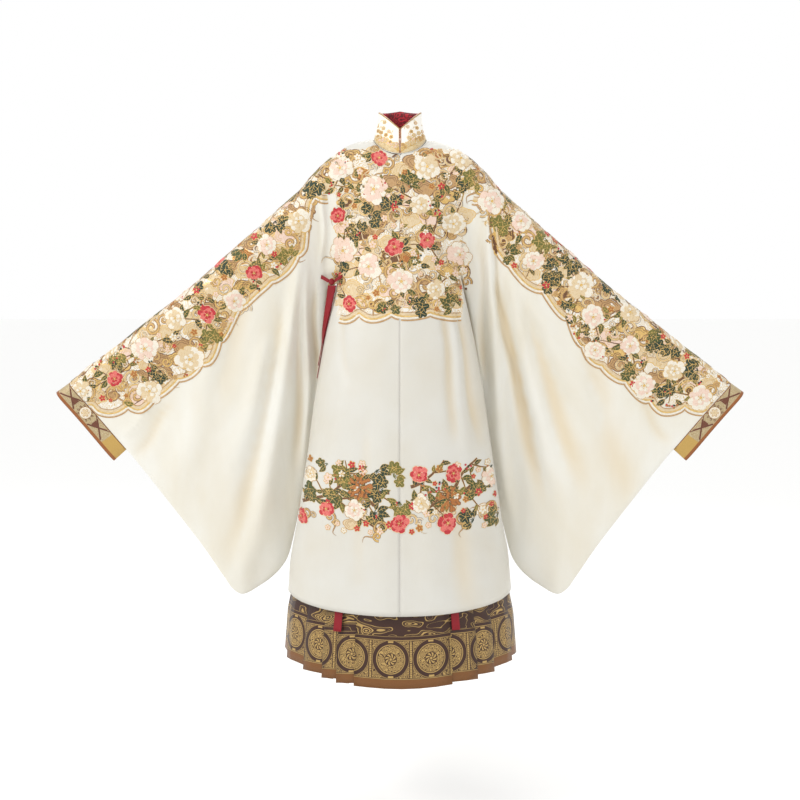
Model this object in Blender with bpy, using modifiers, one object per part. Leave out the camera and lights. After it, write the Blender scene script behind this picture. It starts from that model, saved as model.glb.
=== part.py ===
"""Hanfu robe with huge sleeves over a pleated horse-face skirt, filled out as if worn.

Metres, +Z up.  The front faces -Y and the wearer's left is +X.  The origin is the middle of
the neck at shoulder height, where the wearer's shoulders carry the robe.
Every piece is a cloth wall: an open sheet through rows of points, thickened by Solidify.
"""
import bpy
import bmesh
from math import asin, cos, exp, hypot, pi, radians, sin, sqrt
from mathutils import Vector

# ---------------------------------------------------------------- driving dimensions
COLLECTION = "hanfu_robe"
ROBE_WALL = 0.0012          # satin with its lining
CUFF_WALL = 0.0018
COLLAR_WALL = 0.0015
LINING_WALL = 0.0010
SKIRT_WALL = 0.0010
RIBBON_WALL = 0.0009
SEAM_GAP = 0.0004           # between two pieces sewn edge to edge
SEAM_STRIP = 0.006          # stretch beside a seam that runs square to it

NECK_HALF_WIDTH = 0.0625
NECK_FRONT = 0.070          # collar base in front of and behind the neck axis
NECK_BACK = 0.065
NECK_Z_FRONT = -0.021
NECK_Z_SIDE = 0.017
NECK_Z_BACK = 0.027
NECK_SEAM = 0.0009          # body edge stands this far off the collar's base
COLLAR_TOP_HALF_WIDTH = 0.051
COLLAR_TOP_DEPTH = 0.060
COLLAR_TOP_Z_FRONT = 0.038
COLLAR_TOP_Z_SIDE = 0.082
COLLAR_TOP_Z_BACK = 0.091
COLLAR_SPLIT = 0.0008       # half the slit at the collar's front
LINING_GAP = 0.0004

ARMHOLE_X = 0.149
SHOULDER_Z = -0.012         # top of the armhole
UNDERARM_Z = -0.315
ARMHOLE_ARM = 0.066
ARMHOLE_SLACK = 0.008
HEM_DROP_FRONT = 0.030      # the middle of the hem hangs lower than its sides
HEM_DROP_BACK = 0.014

LAPEL_STEP = 0.0030         # lapel over the panel below it
LAPEL_RISE = 0.045          # width over which the lapel climbs from the centre seam

CUFF_TOP_IN = (0.8045, -0.567)
CUFF_LOW_IN = (0.6685, -0.7305)
CUFF_TOP_OUT = (0.837, -0.590)
CUFF_LOW_OUT = (0.7000, -0.759)
TIE_GAP = 0.014             # the right sleeve stands off the body beside the side tie

WAIST_Z = -0.400            # upper edge of the skirt's cloth
SKIRT_HEM_SIDE_Z = -1.2265
SKIRT_HEM_DROP = 0.0425
DOOR_FREE_TURN = radians(23.6)   # flat panel: free edge and folded edge, from the middle
DOOR_FOLD_TURN = radians(20.6)
DOOR_UNDER_TURN = radians(12.5)  # the hidden panel ends here, past the middle
PLEAT_STEP_WAIST = 0.0027   # each pleat lies this much deeper than its neighbour
PLEAT_STEP_HEM = 0.0050
UNDERLAP_WAIST = 0.010
UNDERLAP_HEM = 0.028
MEAN_RADIUS_WAIST = 0.122
MEAN_RADIUS_HEM = 0.258
WAISTBAND_TOP_Z = -0.360
WAISTBAND_LOW_Z = -0.440
WAISTBAND_WALL = 0.0030
WAISTBAND_CLEAR = 0.0009

RIBBON_WIDTH = 0.020
RIBBON_LIFT = 0.0014        # ribbon over the skirt's front


class Table:
    """Rows with named columns, read between the rows by a smooth curve without overshoot."""

    def __init__(self, columns, *rows):
        self.names = columns.split()
        self.rows = sorted(rows)

    def column(self, name):
        index = self.names.index(name)
        return [row[index] for row in self.rows]

    def at(self, key, name):
        keys = self.column(self.names[0])
        values = self.column(name)
        key = min(max(key, keys[0]), keys[-1])
        last = len(keys) - 2
        i = min(sum(1 for k in keys[1:-1] if k <= key), last)
        slopes = [(values[j + 1] - values[j]) / (keys[j + 1] - keys[j]) for j in range(last + 1)]

        def tangent(j):
            if j == 0 or j == last + 1:
                return slopes[min(j, last)]
            before, after = slopes[j - 1], slopes[j]
            return 0.0 if before * after <= 0 else 2 * before * after / (before + after)

        width = keys[i + 1] - keys[i]
        t = (key - keys[i]) / width
        bend = t * (1 - t) * width
        straight = values[i] * (1 - t) + values[i + 1] * t
        return straight + bend * ((1 - t) * (tangent(i) - slopes[i]) - t * (tangent(i + 1) - slopes[i]))

    def straight(self, key, name):
        keys = self.column(self.names[0])
        values = self.column(name)
        i = min(max(sum(1 for k in keys if k <= key) - 1, 0), len(keys) - 2)
        return lerp(values[i], values[i + 1], (key - keys[i]) / (keys[i + 1] - keys[i]))


# Robe below the underarm: outline half width, depth of the front and of the back.
BODY = Table("z half_width front back",
             (-1.070, 0.2735, 0.200, 0.190),
             (-0.990, 0.2665, 0.192, 0.183),
             (-0.900, 0.2500, 0.183, 0.175),
             (-0.820, 0.2380, 0.174, 0.166),
             (-0.740, 0.2255, 0.165, 0.157),
             (-0.660, 0.2140, 0.155, 0.148),
             (-0.580, 0.2025, 0.145, 0.139),
             (-0.500, 0.1880, 0.136, 0.131),
             (-0.440, 0.1765, 0.129, 0.125),
             (-0.390, 0.1650, 0.124, 0.120),
             (-0.350, 0.1560, 0.120, 0.117),
             (-0.315, 0.1490, 0.118, 0.115))

# Robe above the underarm, on the centre line.
CHEST = Table("z front back",
              (-0.315, 0.118, 0.115),
              (-0.200, 0.110, 0.112),
              (-0.100, 0.094, 0.104),
              (-0.021, 0.070, 0.088),
              (0.027, 0.064, 0.065))

BODY_LEVELS = (-1.070, -0.970, -0.860, -0.750, -0.640, -0.540, -0.460, -0.390, -0.345)
# Shares of a row from the centre seam to the side, and how many of them the lapel covers.
BODY_SHARES = (0.0, 0.03, 0.15, 0.29, 0.43, 0.57, 0.71, 0.83, 0.91, 0.965, 1.0)
LAPEL_COLUMNS = 9

# How far down its own length each point of a sleeve ring lies, top fold to bottom fold.
RING_STEPS = (0.0, 0.015, 0.05, 0.10, 0.165, 0.25, 0.36, 0.49, 0.62, 0.75, 0.87, 0.955, 1.0)
NECK_ROWS = 5               # this many of those rows end on the neck curve
BEND_DEG = (40, 40, 42, 45, 48, 48, 48, 48, 48, 54, 62, 75, 90)

# Sleeve rings, armhole to cuff: top fold, bottom fold, its shift to the back, and thickness.
SLEEVE = Table("station top_x top_z low_x low_z low_y arm slack",
               (0, 0.149, -0.012, 0.1490, -0.315, 0.000, 0.066, 0.008),
               (1, 0.175, -0.032, 0.1620, -0.362, 0.020, 0.064, 0.008),
               (2, 0.205, -0.061, 0.1885, -0.490, 0.030, 0.062, 0.008),
               (3, 0.245, -0.106, 0.2130, -0.650, 0.040, 0.060, 0.008),
               (4, 0.285, -0.141, 0.2370, -0.810, 0.040, 0.058, 0.008),
               (5, 0.330, -0.182, 0.2640, -0.950, 0.036, 0.055, 0.008),
               (5.5, 0.352, -0.201, 0.2790, -1.004, 0.030, 0.0535, 0.008),
               (6, 0.375, -0.220, 0.3030, -1.038, 0.020, 0.052, 0.008),
               (7, 0.425, -0.263, 0.3450, -1.070, 0.010, 0.049, 0.007),
               (8, 0.475, -0.308, 0.3900, -1.0905, 0.000, 0.046, 0.007),
               (8.5, 0.500, -0.329, 0.4120, -1.0780, 0.000, 0.0445, 0.007),
               (9, 0.525, -0.350, 0.4320, -1.0500, 0.000, 0.043, 0.007),
               (10, 0.580, -0.392, 0.4800, -0.978, 0.000, 0.039, 0.007),
               (11, 0.635, -0.435, 0.5300, -0.910, 0.000, 0.034, 0.008),
               (12, 0.690, -0.479, 0.5780, -0.847, 0.000, 0.028, 0.009),
               (13, 0.7475, -0.521, 0.6250, -0.786, 0.000, 0.021, 0.010),
               (14, CUFF_TOP_IN[0], CUFF_TOP_IN[1], CUFF_LOW_IN[0], CUFF_LOW_IN[1],
                0.000, 0.016, 0.010))
SLEEVE_STATIONS = (1, 1.5, 2, 3, 4, 4.6, 5, 5.3, 5.7, 6.2, 7, 7.5, 8, 8.3, 8.7, 9.2, 10.3, 11.7, 13)

# Largest folds of the sleeves: a line from its upper to its lower end, the half width across
# it and its height towards the front.  Troughs have a negative height.
FOLD_COLUMNS = ("x_up", "z_up", "x_low", "z_low", "spread", "height")
FOLDS_RIGHT = ((0.235, -0.28, 0.372, -1.00, 0.030, 0.013),
               (0.310, -0.44, 0.400, -0.78, 0.026, -0.009),
               (0.250, -0.20, 0.245, -0.70, 0.024, -0.008),
               (0.430, -0.46, 0.540, -0.80, 0.034, 0.008))
FOLDS_LEFT = ((0.225, -0.26, 0.350, -0.80, 0.026, -0.011),
              (0.270, -0.32, 0.485, -0.70, 0.030, 0.011),
              (0.225, -0.34, 0.300, -0.98, 0.028, 0.009),
              (0.450, -0.50, 0.560, -0.82, 0.032, -0.007))

# Edge of the lapel: the armhole row at which each of its columns ends.
LAPEL_EDGE = Table("share row",
                   (0.00, 5.00), (0.03, 5.04), (0.15, 5.35), (0.29, 5.70), (0.43, 6.10),
                   (0.57, 6.60), (0.71, 7.20), (0.83, 8.00), (0.91, 9.60))

# Long ends of the side tie: how far off the body's side, how far to the front, and the turn
# out of facing front.
STREAMER = Table("z off front turn_deg",
                 (-0.330, 0.0005, 0.035, 12),
                 (-0.360, 0.0010, 0.029, 35),
                 (-0.410, 0.0012, 0.023, 55),
                 (-0.444, 0.0014, 0.018, 68),
                 (-0.480, 0.0020, 0.014, 84),
                 (-0.530, 0.0020, 0.012, 84),
                 (-0.560, 0.0022, 0.011, 84))

# Skirt: outermost half width and depth, straight between its rows of points.
SKIRT = Table("share half_width depth",
              (-0.05, 0.1280, 0.1000),
              (0.00, 0.1380, 0.1050),
              (0.28, 0.1960, 0.1370),
              (0.56, 0.2490, 0.1640),
              (0.80, 0.2842, 0.1862),
              (0.88, 0.2990, 0.1950),
              (1.00, 0.3080, 0.2120))
# Folded edges between the flat panel's fold and the skirt's side, as shares of that stretch.
PLEATS_OUTER = (0.0, 0.133, 0.259, 0.457, 0.755)
PLEATS_UNDER = (0.243, 0.412, 0.683, 0.90)


# ---------------------------------------------------------------- helpers
def smooth(t):
    t = min(max(t, 0.0), 1.0)
    return t * t * (3 - 2 * t)


def lerp(a, b, t):
    return a + (b - a) * t


def material(name, colour, roughness, metallic=0.0):
    made = bpy.data.materials.new(name)
    made.use_nodes = True
    shader = made.node_tree.nodes["Principled BSDF"]
    shader.inputs["Base Color"].default_value = (*colour, 1.0)
    shader.inputs["Roughness"].default_value = roughness
    shader.inputs["Metallic"].default_value = metallic
    return made


def add_sheet(name, rows, wall, finish, flip=False, closed=False, offset=-1.0, lift=None):
    """Cloth wall through rows of points; closed rows are rings.

    The sheet is the outer face when offset is -1 and the middle of the wall when it is 0.
    lift gives each point a distance to move along the sheet's normal first.
    """
    mesh = bpy.data.meshes.new(name)
    cloth = bmesh.new()
    grid = [[cloth.verts.new(point) for point in row] for row in rows]
    across = len(rows[0]) if closed else len(rows[0]) - 1
    for lower, upper in zip(grid, grid[1:]):
        for i in range(across):
            j = (i + 1) % len(lower)
            corners = [lower[i], lower[j], upper[j], upper[i]]
            if flip:
                corners.reverse()
            cloth.faces.new(corners)
    bmesh.ops.remove_doubles(cloth, verts=cloth.verts, dist=0.00001)
    cloth.normal_update()
    if lift:
        moves = [(vert, vert.normal * lift(vert.co, vert.normal)) for vert in cloth.verts]
        for vert, move in moves:
            vert.co += move
    cloth.to_mesh(mesh)
    cloth.free()
    mesh.shade_smooth()
    sheet = bpy.data.objects.new(name, mesh)
    sheet.data.materials.append(finish)
    parts.objects.link(sheet)
    solidify = sheet.modifiers.new("cloth wall", "SOLIDIFY")
    solidify.thickness = wall
    solidify.offset = offset
    solidify.use_rim = True
    return sheet


# ---------------------------------------------------------------- robe: body
def sleeve_thickness(down, length, arm, slack):
    """Half the depth of a hanging sleeve: round over the arm, slack below, closed at the fold."""
    over_arm = arm / 0.6065 * sqrt(down / arm) * exp(-down / (2 * arm))
    closing = sqrt(max(0.0, 1 - (down / length) ** 12))
    return (over_arm + slack * (1 - exp(-down / arm))) * closing


def neck_point(turn):
    """Collar base at a turn from the front (0) over the wearer's left to the back (pi)."""
    front = max(cos(turn), 0.0)
    back = max(-cos(turn), 0.0)
    x = NECK_HALF_WIDTH * sin(turn)
    y = -NECK_FRONT * front + NECK_BACK * back
    z = NECK_Z_SIDE + (NECK_Z_FRONT - NECK_Z_SIDE) * front ** 1.3 + (NECK_Z_BACK - NECK_Z_SIDE) * back
    return Vector((x, y, z))


def body_neck_edge(turn):
    """The body's edge around the collar, a seam's width down the cloth from it."""
    slope = Vector((sin(turn), -0.35 * cos(turn), -0.9 * abs(cos(turn))))
    return neck_point(turn) + slope * NECK_SEAM


def body_half_rows(front):
    """Rows of one half, hem to shoulder: inner end, outer end, and the bend between them."""
    depth = "front" if front else "back"
    towards = -1 if front else 1
    drop = HEM_DROP_FRONT if front else HEM_DROP_BACK
    rows = []
    for z in BODY_LEVELS:
        share = (UNDERARM_Z - z) / (UNDERARM_Z - BODY_LEVELS[0])
        inner = Vector((0, towards * BODY.at(z, depth), z - drop * share ** 2))
        rows.append((inner, Vector((BODY.at(z, "half_width"), 0, z)), 90))
    length = SHOULDER_Z - UNDERARM_Z
    neck_turn = 0.0 if front else pi
    neck_z = body_neck_edge(neck_turn).z
    for k in range(len(RING_STEPS) - 1, -1, -1):
        down = RING_STEPS[k] * length
        half = sleeve_thickness(down, length, ARMHOLE_ARM, ARMHOLE_SLACK)
        outer = Vector((ARMHOLE_X, towards * half, SHOULDER_Z - down))
        if k > NECK_ROWS:
            z = lerp(UNDERARM_Z, neck_z, (len(RING_STEPS) - 1 - k) / (len(RING_STEPS) - 1 - NECK_ROWS))
            inner = Vector((0, towards * CHEST.at(z, depth), z))
        else:
            inner = body_neck_edge(abs(neck_turn - (NECK_ROWS - k) / NECK_ROWS * pi / 2))
        if down == length:
            outer.z -= SEAM_GAP
        rows.append((inner, outer, BEND_DEG[k]))
    return rows


def body_row_point(row, share):
    inner, outer, bend = row
    turn = radians(bend)
    along = sin(share * turn) / sin(turn)
    level = (cos(share * turn) - cos(turn)) / (1 - cos(turn))
    return Vector((lerp(inner.x, outer.x, along), lerp(outer.y, inner.y, level),
                   lerp(outer.z, inner.z, level)))


def body_grid(rows, shares, side, seam_rows, armhole_rows=()):
    """Points of the rows at the given shares, squared off beside the centre seam and armhole."""
    grid = []
    for number, row in enumerate(rows):
        points = [body_row_point(row, share) for share in shares]
        if number in seam_rows:
            points[1].x = SEAM_STRIP
            points[1].yz = points[0].yz
            if number == seam_rows[-1]:
                points[1].yz = points[0].yz.lerp(grid[-1][0].yz, 0.04)
            points[0].x = SEAM_GAP / 2
        if number in armhole_rows:
            points[-2] = points[-1] - Vector((SEAM_STRIP, 0, 0))
            points[-1].x -= SEAM_GAP / 2
        grid.append([Vector((side * p.x, p.y, p.z)) for p in points])
    return grid


def body_half(name, side, finish, front_lift):
    """Front and back in one piece over the shoulder, joined down the side below the armhole."""
    below = len(BODY_LEVELS)
    total = below + len(RING_STEPS)
    seam_rows = range(total - NECK_ROWS)
    armhole_rows = range(below + 1, total)
    front = body_grid(body_half_rows(True), BODY_SHARES, side, seam_rows, armhole_rows)
    back = body_grid(body_half_rows(False), BODY_SHARES, side, seam_rows, armhole_rows)
    rows = front + back[-2::-1]
    return add_sheet(name, rows, ROBE_WALL, finish, flip=side < 0, lift=front_lift)


def under_lapel(place, normal):
    """The right front sinks towards the middle, so the lapel can lie over it."""
    if normal.y > 0.2:
        return 0.0
    front = smooth((-place.y - 0.02) / 0.03)
    return -LAPEL_STEP * (1 - smooth(abs(place.x) / LAPEL_RISE)) * front


def over_body(place, normal):
    return LAPEL_STEP * smooth(abs(place.x) / LAPEL_RISE)


def lapel(finish):
    """Outer right front, sewn to the left front down the middle and tied at the right side.

    It has the body's own points, cut off along its upper edge.
    """
    rows = body_half_rows(True)[:-NECK_ROWS]
    shares = BODY_SHARES[:LAPEL_COLUMNS]
    body = body_grid(rows, shares, -1, range(len(rows)))
    grid = [[None] * LAPEL_COLUMNS for row in rows]
    for column, share in enumerate(shares):
        end = len(BODY_LEVELS) + len(RING_STEPS) - 1 - LAPEL_EDGE.at(share, "row")
        for number in range(len(rows)):
            place = min(number, end)
            lower = min(int(place), len(rows) - 2)
            grid[number][column] = body[lower][column].lerp(body[lower + 1][column], place - lower)
    return add_sheet("robe_lapel_right", grid, ROBE_WALL, finish, flip=True, lift=over_body)


# ---------------------------------------------------------------- robe: sleeves and cuffs
def fold_shift(x, z, folds):
    """Push towards the front by the folds that pass near a place."""
    total = 0.0
    for values in folds:
        fold = dict(zip(FOLD_COLUMNS, values))
        run_x = fold["x_low"] - fold["x_up"]
        run_z = fold["z_low"] - fold["z_up"]
        length = hypot(run_x, run_z)
        along = ((x - fold["x_up"]) * run_x + (z - fold["z_up"]) * run_z) / length ** 2
        across = ((x - fold["x_up"]) * run_z - (z - fold["z_up"]) * run_x) / length
        fade = smooth((along + 0.1) / 0.35) * smooth((1.15 - along) / 0.35)
        total += fold["height"] * fade * exp(-(across / fold["spread"]) ** 2)
    return total


def ring_points(top, low, low_y, arm, slack, folds=()):
    """Ring from the top fold down the front wall and up the back wall; top and low are x, z."""
    length = hypot(low[0] - top[0], low[1] - top[1])
    walls = []
    for towards in (-1, 1):
        wall = []
        for step in RING_STEPS:
            x = lerp(top[0], low[0], step)
            z = lerp(top[1], low[1], step)
            half = sleeve_thickness(step * length, length, arm, slack)
            hang = low_y * smooth(step) - fold_shift(x, z, folds) * smooth(8 * (1 - step))
            wall.append(Vector((x, towards * half + hang, z)))
        walls.append(wall)
    return walls[0] + walls[1][-2:0:-1]


def mirrored(rows, side):
    return [[Vector((side * p.x, p.y, p.z)) for p in row] for row in rows]


def shifted(row, x, z):
    return [p + Vector((x, 0, z)) for p in row]


def cuff_direction():
    """Unit step in x, z across the cuff seam, away from the body."""
    run_x = CUFF_LOW_IN[0] - CUFF_TOP_IN[0]
    run_z = CUFF_LOW_IN[1] - CUFF_TOP_IN[1]
    length = hypot(run_x, run_z)
    return -run_z / length, run_x / length


def sleeve(name, side, folds, stand_off, finish):
    """Tube of rings from the armhole to the cuff seam, hanging flat below the arm."""
    def ring(station):
        value = {name: SLEEVE.at(station, name) for name in SLEEVE.names[1:]}
        beside_tie = smooth(station) * (1 - smooth(station - 1))
        low = (value["low_x"] + stand_off * beside_tie, value["low_z"])
        return ring_points((value["top_x"], value["top_z"]), low, value["low_y"],
                           value["arm"], value["slack"], folds)

    armhole = ring_points((ARMHOLE_X, SHOULDER_Z), (ARMHOLE_X, UNDERARM_Z), 0.0,
                          ARMHOLE_ARM, ARMHOLE_SLACK)
    out_x, out_z = cuff_direction()
    end = ring(14)
    half_seam = SEAM_GAP / 2
    rows = [shifted(armhole, half_seam, 0), shifted(armhole, SEAM_STRIP, 0)]
    rows += [ring(station) for station in SLEEVE_STATIONS]
    rows += [shifted(end, -out_x * SEAM_STRIP, -out_z * SEAM_STRIP),
             shifted(end, -out_x * half_seam, -out_z * half_seam)]
    return add_sheet(name, mirrored(rows, side), ROBE_WALL, finish, flip=side < 0, closed=True)


def cuff(name, side, finish):
    """Brocade band at the sleeve's mouth."""
    out_x, out_z = cuff_direction()
    arm, slack = SLEEVE.rows[-1][-2:]
    inner = ring_points(CUFF_TOP_IN, CUFF_LOW_IN, 0.0, arm, slack)
    outer = ring_points(CUFF_TOP_OUT, CUFF_LOW_OUT, 0.0, arm, slack)
    half_seam = SEAM_GAP / 2
    rows = [shifted(inner, out_x * half_seam, out_z * half_seam),
            shifted(inner, out_x * SEAM_STRIP, out_z * SEAM_STRIP), outer]
    return add_sheet(name, mirrored(rows, side), CUFF_WALL, finish, flip=side < 0, closed=True)


# ---------------------------------------------------------------- robe: collar and side tie
def collar_point(turn, height, inward):
    """Stand collar at a turn from the front and a share of its height, moved in from its face."""
    base = neck_point(turn)
    front = max(cos(turn), 0.0)
    side = abs(sin(turn))
    top_z = COLLAR_TOP_Z_SIDE + (COLLAR_TOP_Z_BACK - COLLAR_TOP_Z_SIDE) * (1 - side)
    if front > 0:
        top_z = lerp(COLLAR_TOP_Z_FRONT, COLLAR_TOP_Z_SIDE, side)
    top = Vector((COLLAR_TOP_HALF_WIDTH * sin(turn), -COLLAR_TOP_DEPTH * cos(turn), top_z))
    place = base.lerp(top, height)
    radius = hypot(place.x, place.y)
    place.x -= place.x / radius * inward
    place.y -= place.y / radius * inward
    return place


def collar_band(name, inward, wall, low, finish):
    split = asin(COLLAR_SPLIT / NECK_HALF_WIDTH)
    segments = 4 * NECK_ROWS
    turns = [split] + [2 * pi * i / segments for i in range(1, segments)] + [2 * pi - split]
    rows = []
    for height in (low, 0.33, 0.67, 1.0):
        row = [collar_point(turn, height, inward) for turn in turns]
        row[0].x = COLLAR_SPLIT
        row[-1].x = -COLLAR_SPLIT
        rows.append(row)
    return add_sheet(name, rows, wall, finish)


def strip(name, stations, wall, finish):
    """Ribbon through stations of middle, direction across, and width."""
    rows = []
    for middle, across, width in stations:
        half = Vector(across).normalized() * width / 2
        rows.append([Vector(middle) - half, Vector(middle), Vector(middle) + half])
    return add_sheet(name, rows, wall, finish, offset=0.0)


def side_tie(finish):
    """Knot, two short strands and two long ends of the red tie at the wearer's right."""
    knot_at = Vector((-0.1640, -0.0340, -0.3225))
    mesh = bpy.data.meshes.new("robe_tie_knot")
    lump = bmesh.new()
    bmesh.ops.create_uvsphere(lump, u_segments=10, v_segments=6, radius=1.0)
    bmesh.ops.scale(lump, verts=lump.verts, vec=(0.0075, 0.0050, 0.0080))
    lump.to_mesh(mesh)
    lump.free()
    mesh.shade_smooth()
    knot = bpy.data.objects.new("robe_tie_knot", mesh)
    knot.location = knot_at
    knot.data.materials.append(finish)
    parts.objects.link(knot)
    down = Vector((0.2, 0, 1))
    strip("robe_tie_strand_front",
          [((-0.1566, -0.0364, -0.3200), down, 0.008),
           ((-0.1475, -0.0452, -0.3145), down, 0.009),
           ((-0.1382, -0.0510, -0.3090), down, 0.009)], 0.0016, finish)
    strip("robe_tie_strand_back",
          [((-0.1712, -0.0322, -0.3205), down, 0.008),
           ((-0.1810, -0.0236, -0.3150), down, 0.009),
           ((-0.1900, -0.0174, -0.3105), down, 0.009)], 0.0016, finish)
    for name, lift, z_low in (("robe_tie_end_long", 0.0, -0.556), ("robe_tie_end_short", 0.0028, -0.525)):
        stations = []
        for i in range(8):
            z = lerp(-0.3310, z_low, i / 7)
            turn = radians(STREAMER.at(z, "turn_deg"))
            x = BODY.at(z, "half_width") + STREAMER.at(z, "off") + RIBBON_WIDTH / 2 * cos(turn)
            middle = Vector((-x - lift * sin(turn), -STREAMER.at(z, "front") - lift * cos(turn), z))
            stations.append((middle, (cos(turn), -sin(turn), 0), RIBBON_WIDTH))
        strip(name, stations, RIBBON_WALL, finish)


# ---------------------------------------------------------------- skirt
def skirt_point(turn, level, share):
    """Skirt at a turn from the front, a pleat level inwards, and a share of the way down."""
    hem_z = SKIRT_HEM_SIDE_Z - SKIRT_HEM_DROP * cos(turn) ** 2
    inward = level * lerp(PLEAT_STEP_WAIST, PLEAT_STEP_HEM, share)
    return Vector(((SKIRT.straight(share, "half_width") - inward) * sin(turn),
                   -(SKIRT.straight(share, "depth") - inward) * cos(turn),
                   lerp(WAIST_Z, hem_z, share)))


def wrap_row(share):
    """One half of the skirt: flat front panel, pleats round one side, panel under the back one.

    Turns run from the front panel's free edge (negative) to the back's hidden panel.  A fold
    turns the cloth under by half a level, and it comes back out a whole level deeper.
    """
    lap = lerp(UNDERLAP_WAIST, UNDERLAP_HEM, share) / lerp(MEAN_RADIUS_WAIST, MEAN_RADIUS_HEM, share)
    outer = [lerp(DOOR_FOLD_TURN, pi / 2, part) for part in PLEATS_OUTER]
    backs = [pi - lerp(DOOR_FOLD_TURN, pi / 2, part) for part in reversed(PLEATS_UNDER)]
    places = [(lerp(-DOOR_FREE_TURN, outer[0] - lap, i / 5), 0) for i in range(6)]
    for level, fold in enumerate(outer):
        places += [(fold, level), (fold, level + 0.5), (fold - lap, level + 0.5), (fold - lap, level + 1)]
        following = outer[level + 1] if level + 1 < len(outer) else pi / 2 + lap
        places += [(turn, level + 1) for turn in sorted((fold, following - lap))]
    level = len(outer)
    for fold in backs:
        places += [(fold, level), (fold + lap, level), (fold + lap, level - 0.5), (fold, level - 0.5),
                   (fold, level - 1), (fold + lap, level - 1)]
        level -= 1
    last = backs[-1] + lap
    places += [(lerp(last, pi + DOOR_UNDER_TURN, i / 5), level) for i in range(1, 6)]
    return [skirt_point(turn, depth, share) for turn, depth in places]


def skirt_wrap(name, half_turn, finish):
    """The two halves are alike, turned half round about the vertical."""
    rows = [wrap_row(share) for share in SKIRT.column("share")[1:]]
    sign = -1 if half_turn else 1
    rows = [[Vector((-sign * p.x, sign * p.y, p.z)) for p in row] for row in rows]
    return add_sheet(name, rows, SKIRT_WALL, finish, offset=0.0)


def skirt_share(z):
    return (WAIST_Z - z) / (WAIST_Z - SKIRT_HEM_SIDE_Z + SKIRT_HEM_DROP)


def waistband(finish):
    rows = []
    for z in (WAISTBAND_LOW_Z, WAISTBAND_TOP_Z):
        out = WAISTBAND_CLEAR + WAISTBAND_WALL + SKIRT_WALL / 2
        wide = SKIRT.straight(skirt_share(z), "half_width") + out
        deep = SKIRT.straight(skirt_share(z), "depth") + out
        turns = [2 * pi * i / 36 for i in range(36)]
        rows.append([Vector((wide * sin(t), -deep * cos(t), z)) for t in turns])
    return add_sheet("skirt_waistband", rows, WAISTBAND_WALL, finish, closed=True)


def skirt_ribbon(name, x_top, x_low, z_low, finish):
    """Tie end that hangs from the waistband over the skirt's front, under the robe."""
    stations = []
    z_top = WAISTBAND_LOW_Z - 1.5 * SEAM_GAP
    for i in range(9):
        along = i / 8
        z = lerp(z_top, z_low, along)
        x = lerp(x_top, x_low, along)
        lift = lerp(RIBBON_LIFT + WAISTBAND_WALL / 2, RIBBON_LIFT, smooth(along * 4))
        wide = SKIRT.straight(skirt_share(z), "half_width") + lift
        deep = SKIRT.straight(skirt_share(z), "depth") + lift
        y = -deep * sqrt(1 - (x / wide) ** 2)
        across = Vector((1, -x * (deep / wide) ** 2 / y, 0))
        stations.append(((x, y, z), across, RIBBON_WIDTH))
    return strip(name, stations, RIBBON_WALL, finish)


# ---------------------------------------------------------------- build
for old in list(bpy.data.objects):
    bpy.data.objects.remove(old, do_unlink=True)
parts = bpy.data.collections.new(COLLECTION)
bpy.context.scene.collection.children.link(parts)

satin = material("ivory_satin", (0.86, 0.82, 0.74), 0.38)
brocade = material("gold_brocade", (0.52, 0.37, 0.16), 0.42)
red_silk = material("red_silk", (0.36, 0.02, 0.04), 0.40)
skirt_brocade = material("brown_gold_brocade", (0.20, 0.12, 0.07), 0.45)

body_half("robe_body_left", 1, satin, None)
body_half("robe_body_right", -1, satin, under_lapel)
lapel(satin)
sleeve("robe_sleeve_left", 1, FOLDS_LEFT, 0.0, satin)
sleeve("robe_sleeve_right", -1, FOLDS_RIGHT, TIE_GAP, satin)
cuff("robe_cuff_left", 1, brocade)
cuff("robe_cuff_right", -1, brocade)
collar_band("robe_collar", 0.0, COLLAR_WALL, 0.0, satin)
collar_band("robe_collar_lining", COLLAR_WALL + LINING_GAP, LINING_WALL, 0.01, red_silk)
side_tie(red_silk)
skirt_wrap("skirt_wrap_front", False, skirt_brocade)
skirt_wrap("skirt_wrap_back", True, skirt_brocade)
waistband(red_silk)
skirt_ribbon("skirt_ribbon_right", -0.090, -0.148, -1.143, red_silk)
skirt_ribbon("skirt_ribbon_left", 0.080, 0.132, -1.138, red_silk)
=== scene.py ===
"""Embroidered hanfu robe over a pleated brocade skirt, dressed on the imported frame."""
import random
from math import asin, atan2, cos, exp, hypot, pi, radians, sin, sqrt

import bpy
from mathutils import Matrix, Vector, noise
from mathutils.bvhtree import BVHTree


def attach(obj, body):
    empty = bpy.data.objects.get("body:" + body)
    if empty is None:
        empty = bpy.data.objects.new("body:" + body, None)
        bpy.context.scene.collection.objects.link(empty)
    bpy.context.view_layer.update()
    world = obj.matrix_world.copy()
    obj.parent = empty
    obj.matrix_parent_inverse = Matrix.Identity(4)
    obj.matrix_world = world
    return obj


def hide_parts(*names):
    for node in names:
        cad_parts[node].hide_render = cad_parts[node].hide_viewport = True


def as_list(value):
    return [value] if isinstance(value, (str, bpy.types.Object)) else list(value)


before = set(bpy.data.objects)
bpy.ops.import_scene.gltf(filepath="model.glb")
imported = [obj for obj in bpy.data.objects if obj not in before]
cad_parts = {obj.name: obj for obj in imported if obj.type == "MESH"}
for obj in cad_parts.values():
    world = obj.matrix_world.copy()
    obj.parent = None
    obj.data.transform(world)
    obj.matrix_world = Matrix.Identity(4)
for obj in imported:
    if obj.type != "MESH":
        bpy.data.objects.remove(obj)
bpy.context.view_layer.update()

# ---- sizes shared with the solids
NECK_HALF_WIDTH, NECK_FRONT, NECK_BACK = 0.0625, 0.070, 0.065
NECK_Z_FRONT, NECK_Z_SIDE, NECK_Z_BACK = -0.021, 0.017, 0.027
NECK_SEAM = 0.0006
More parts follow.
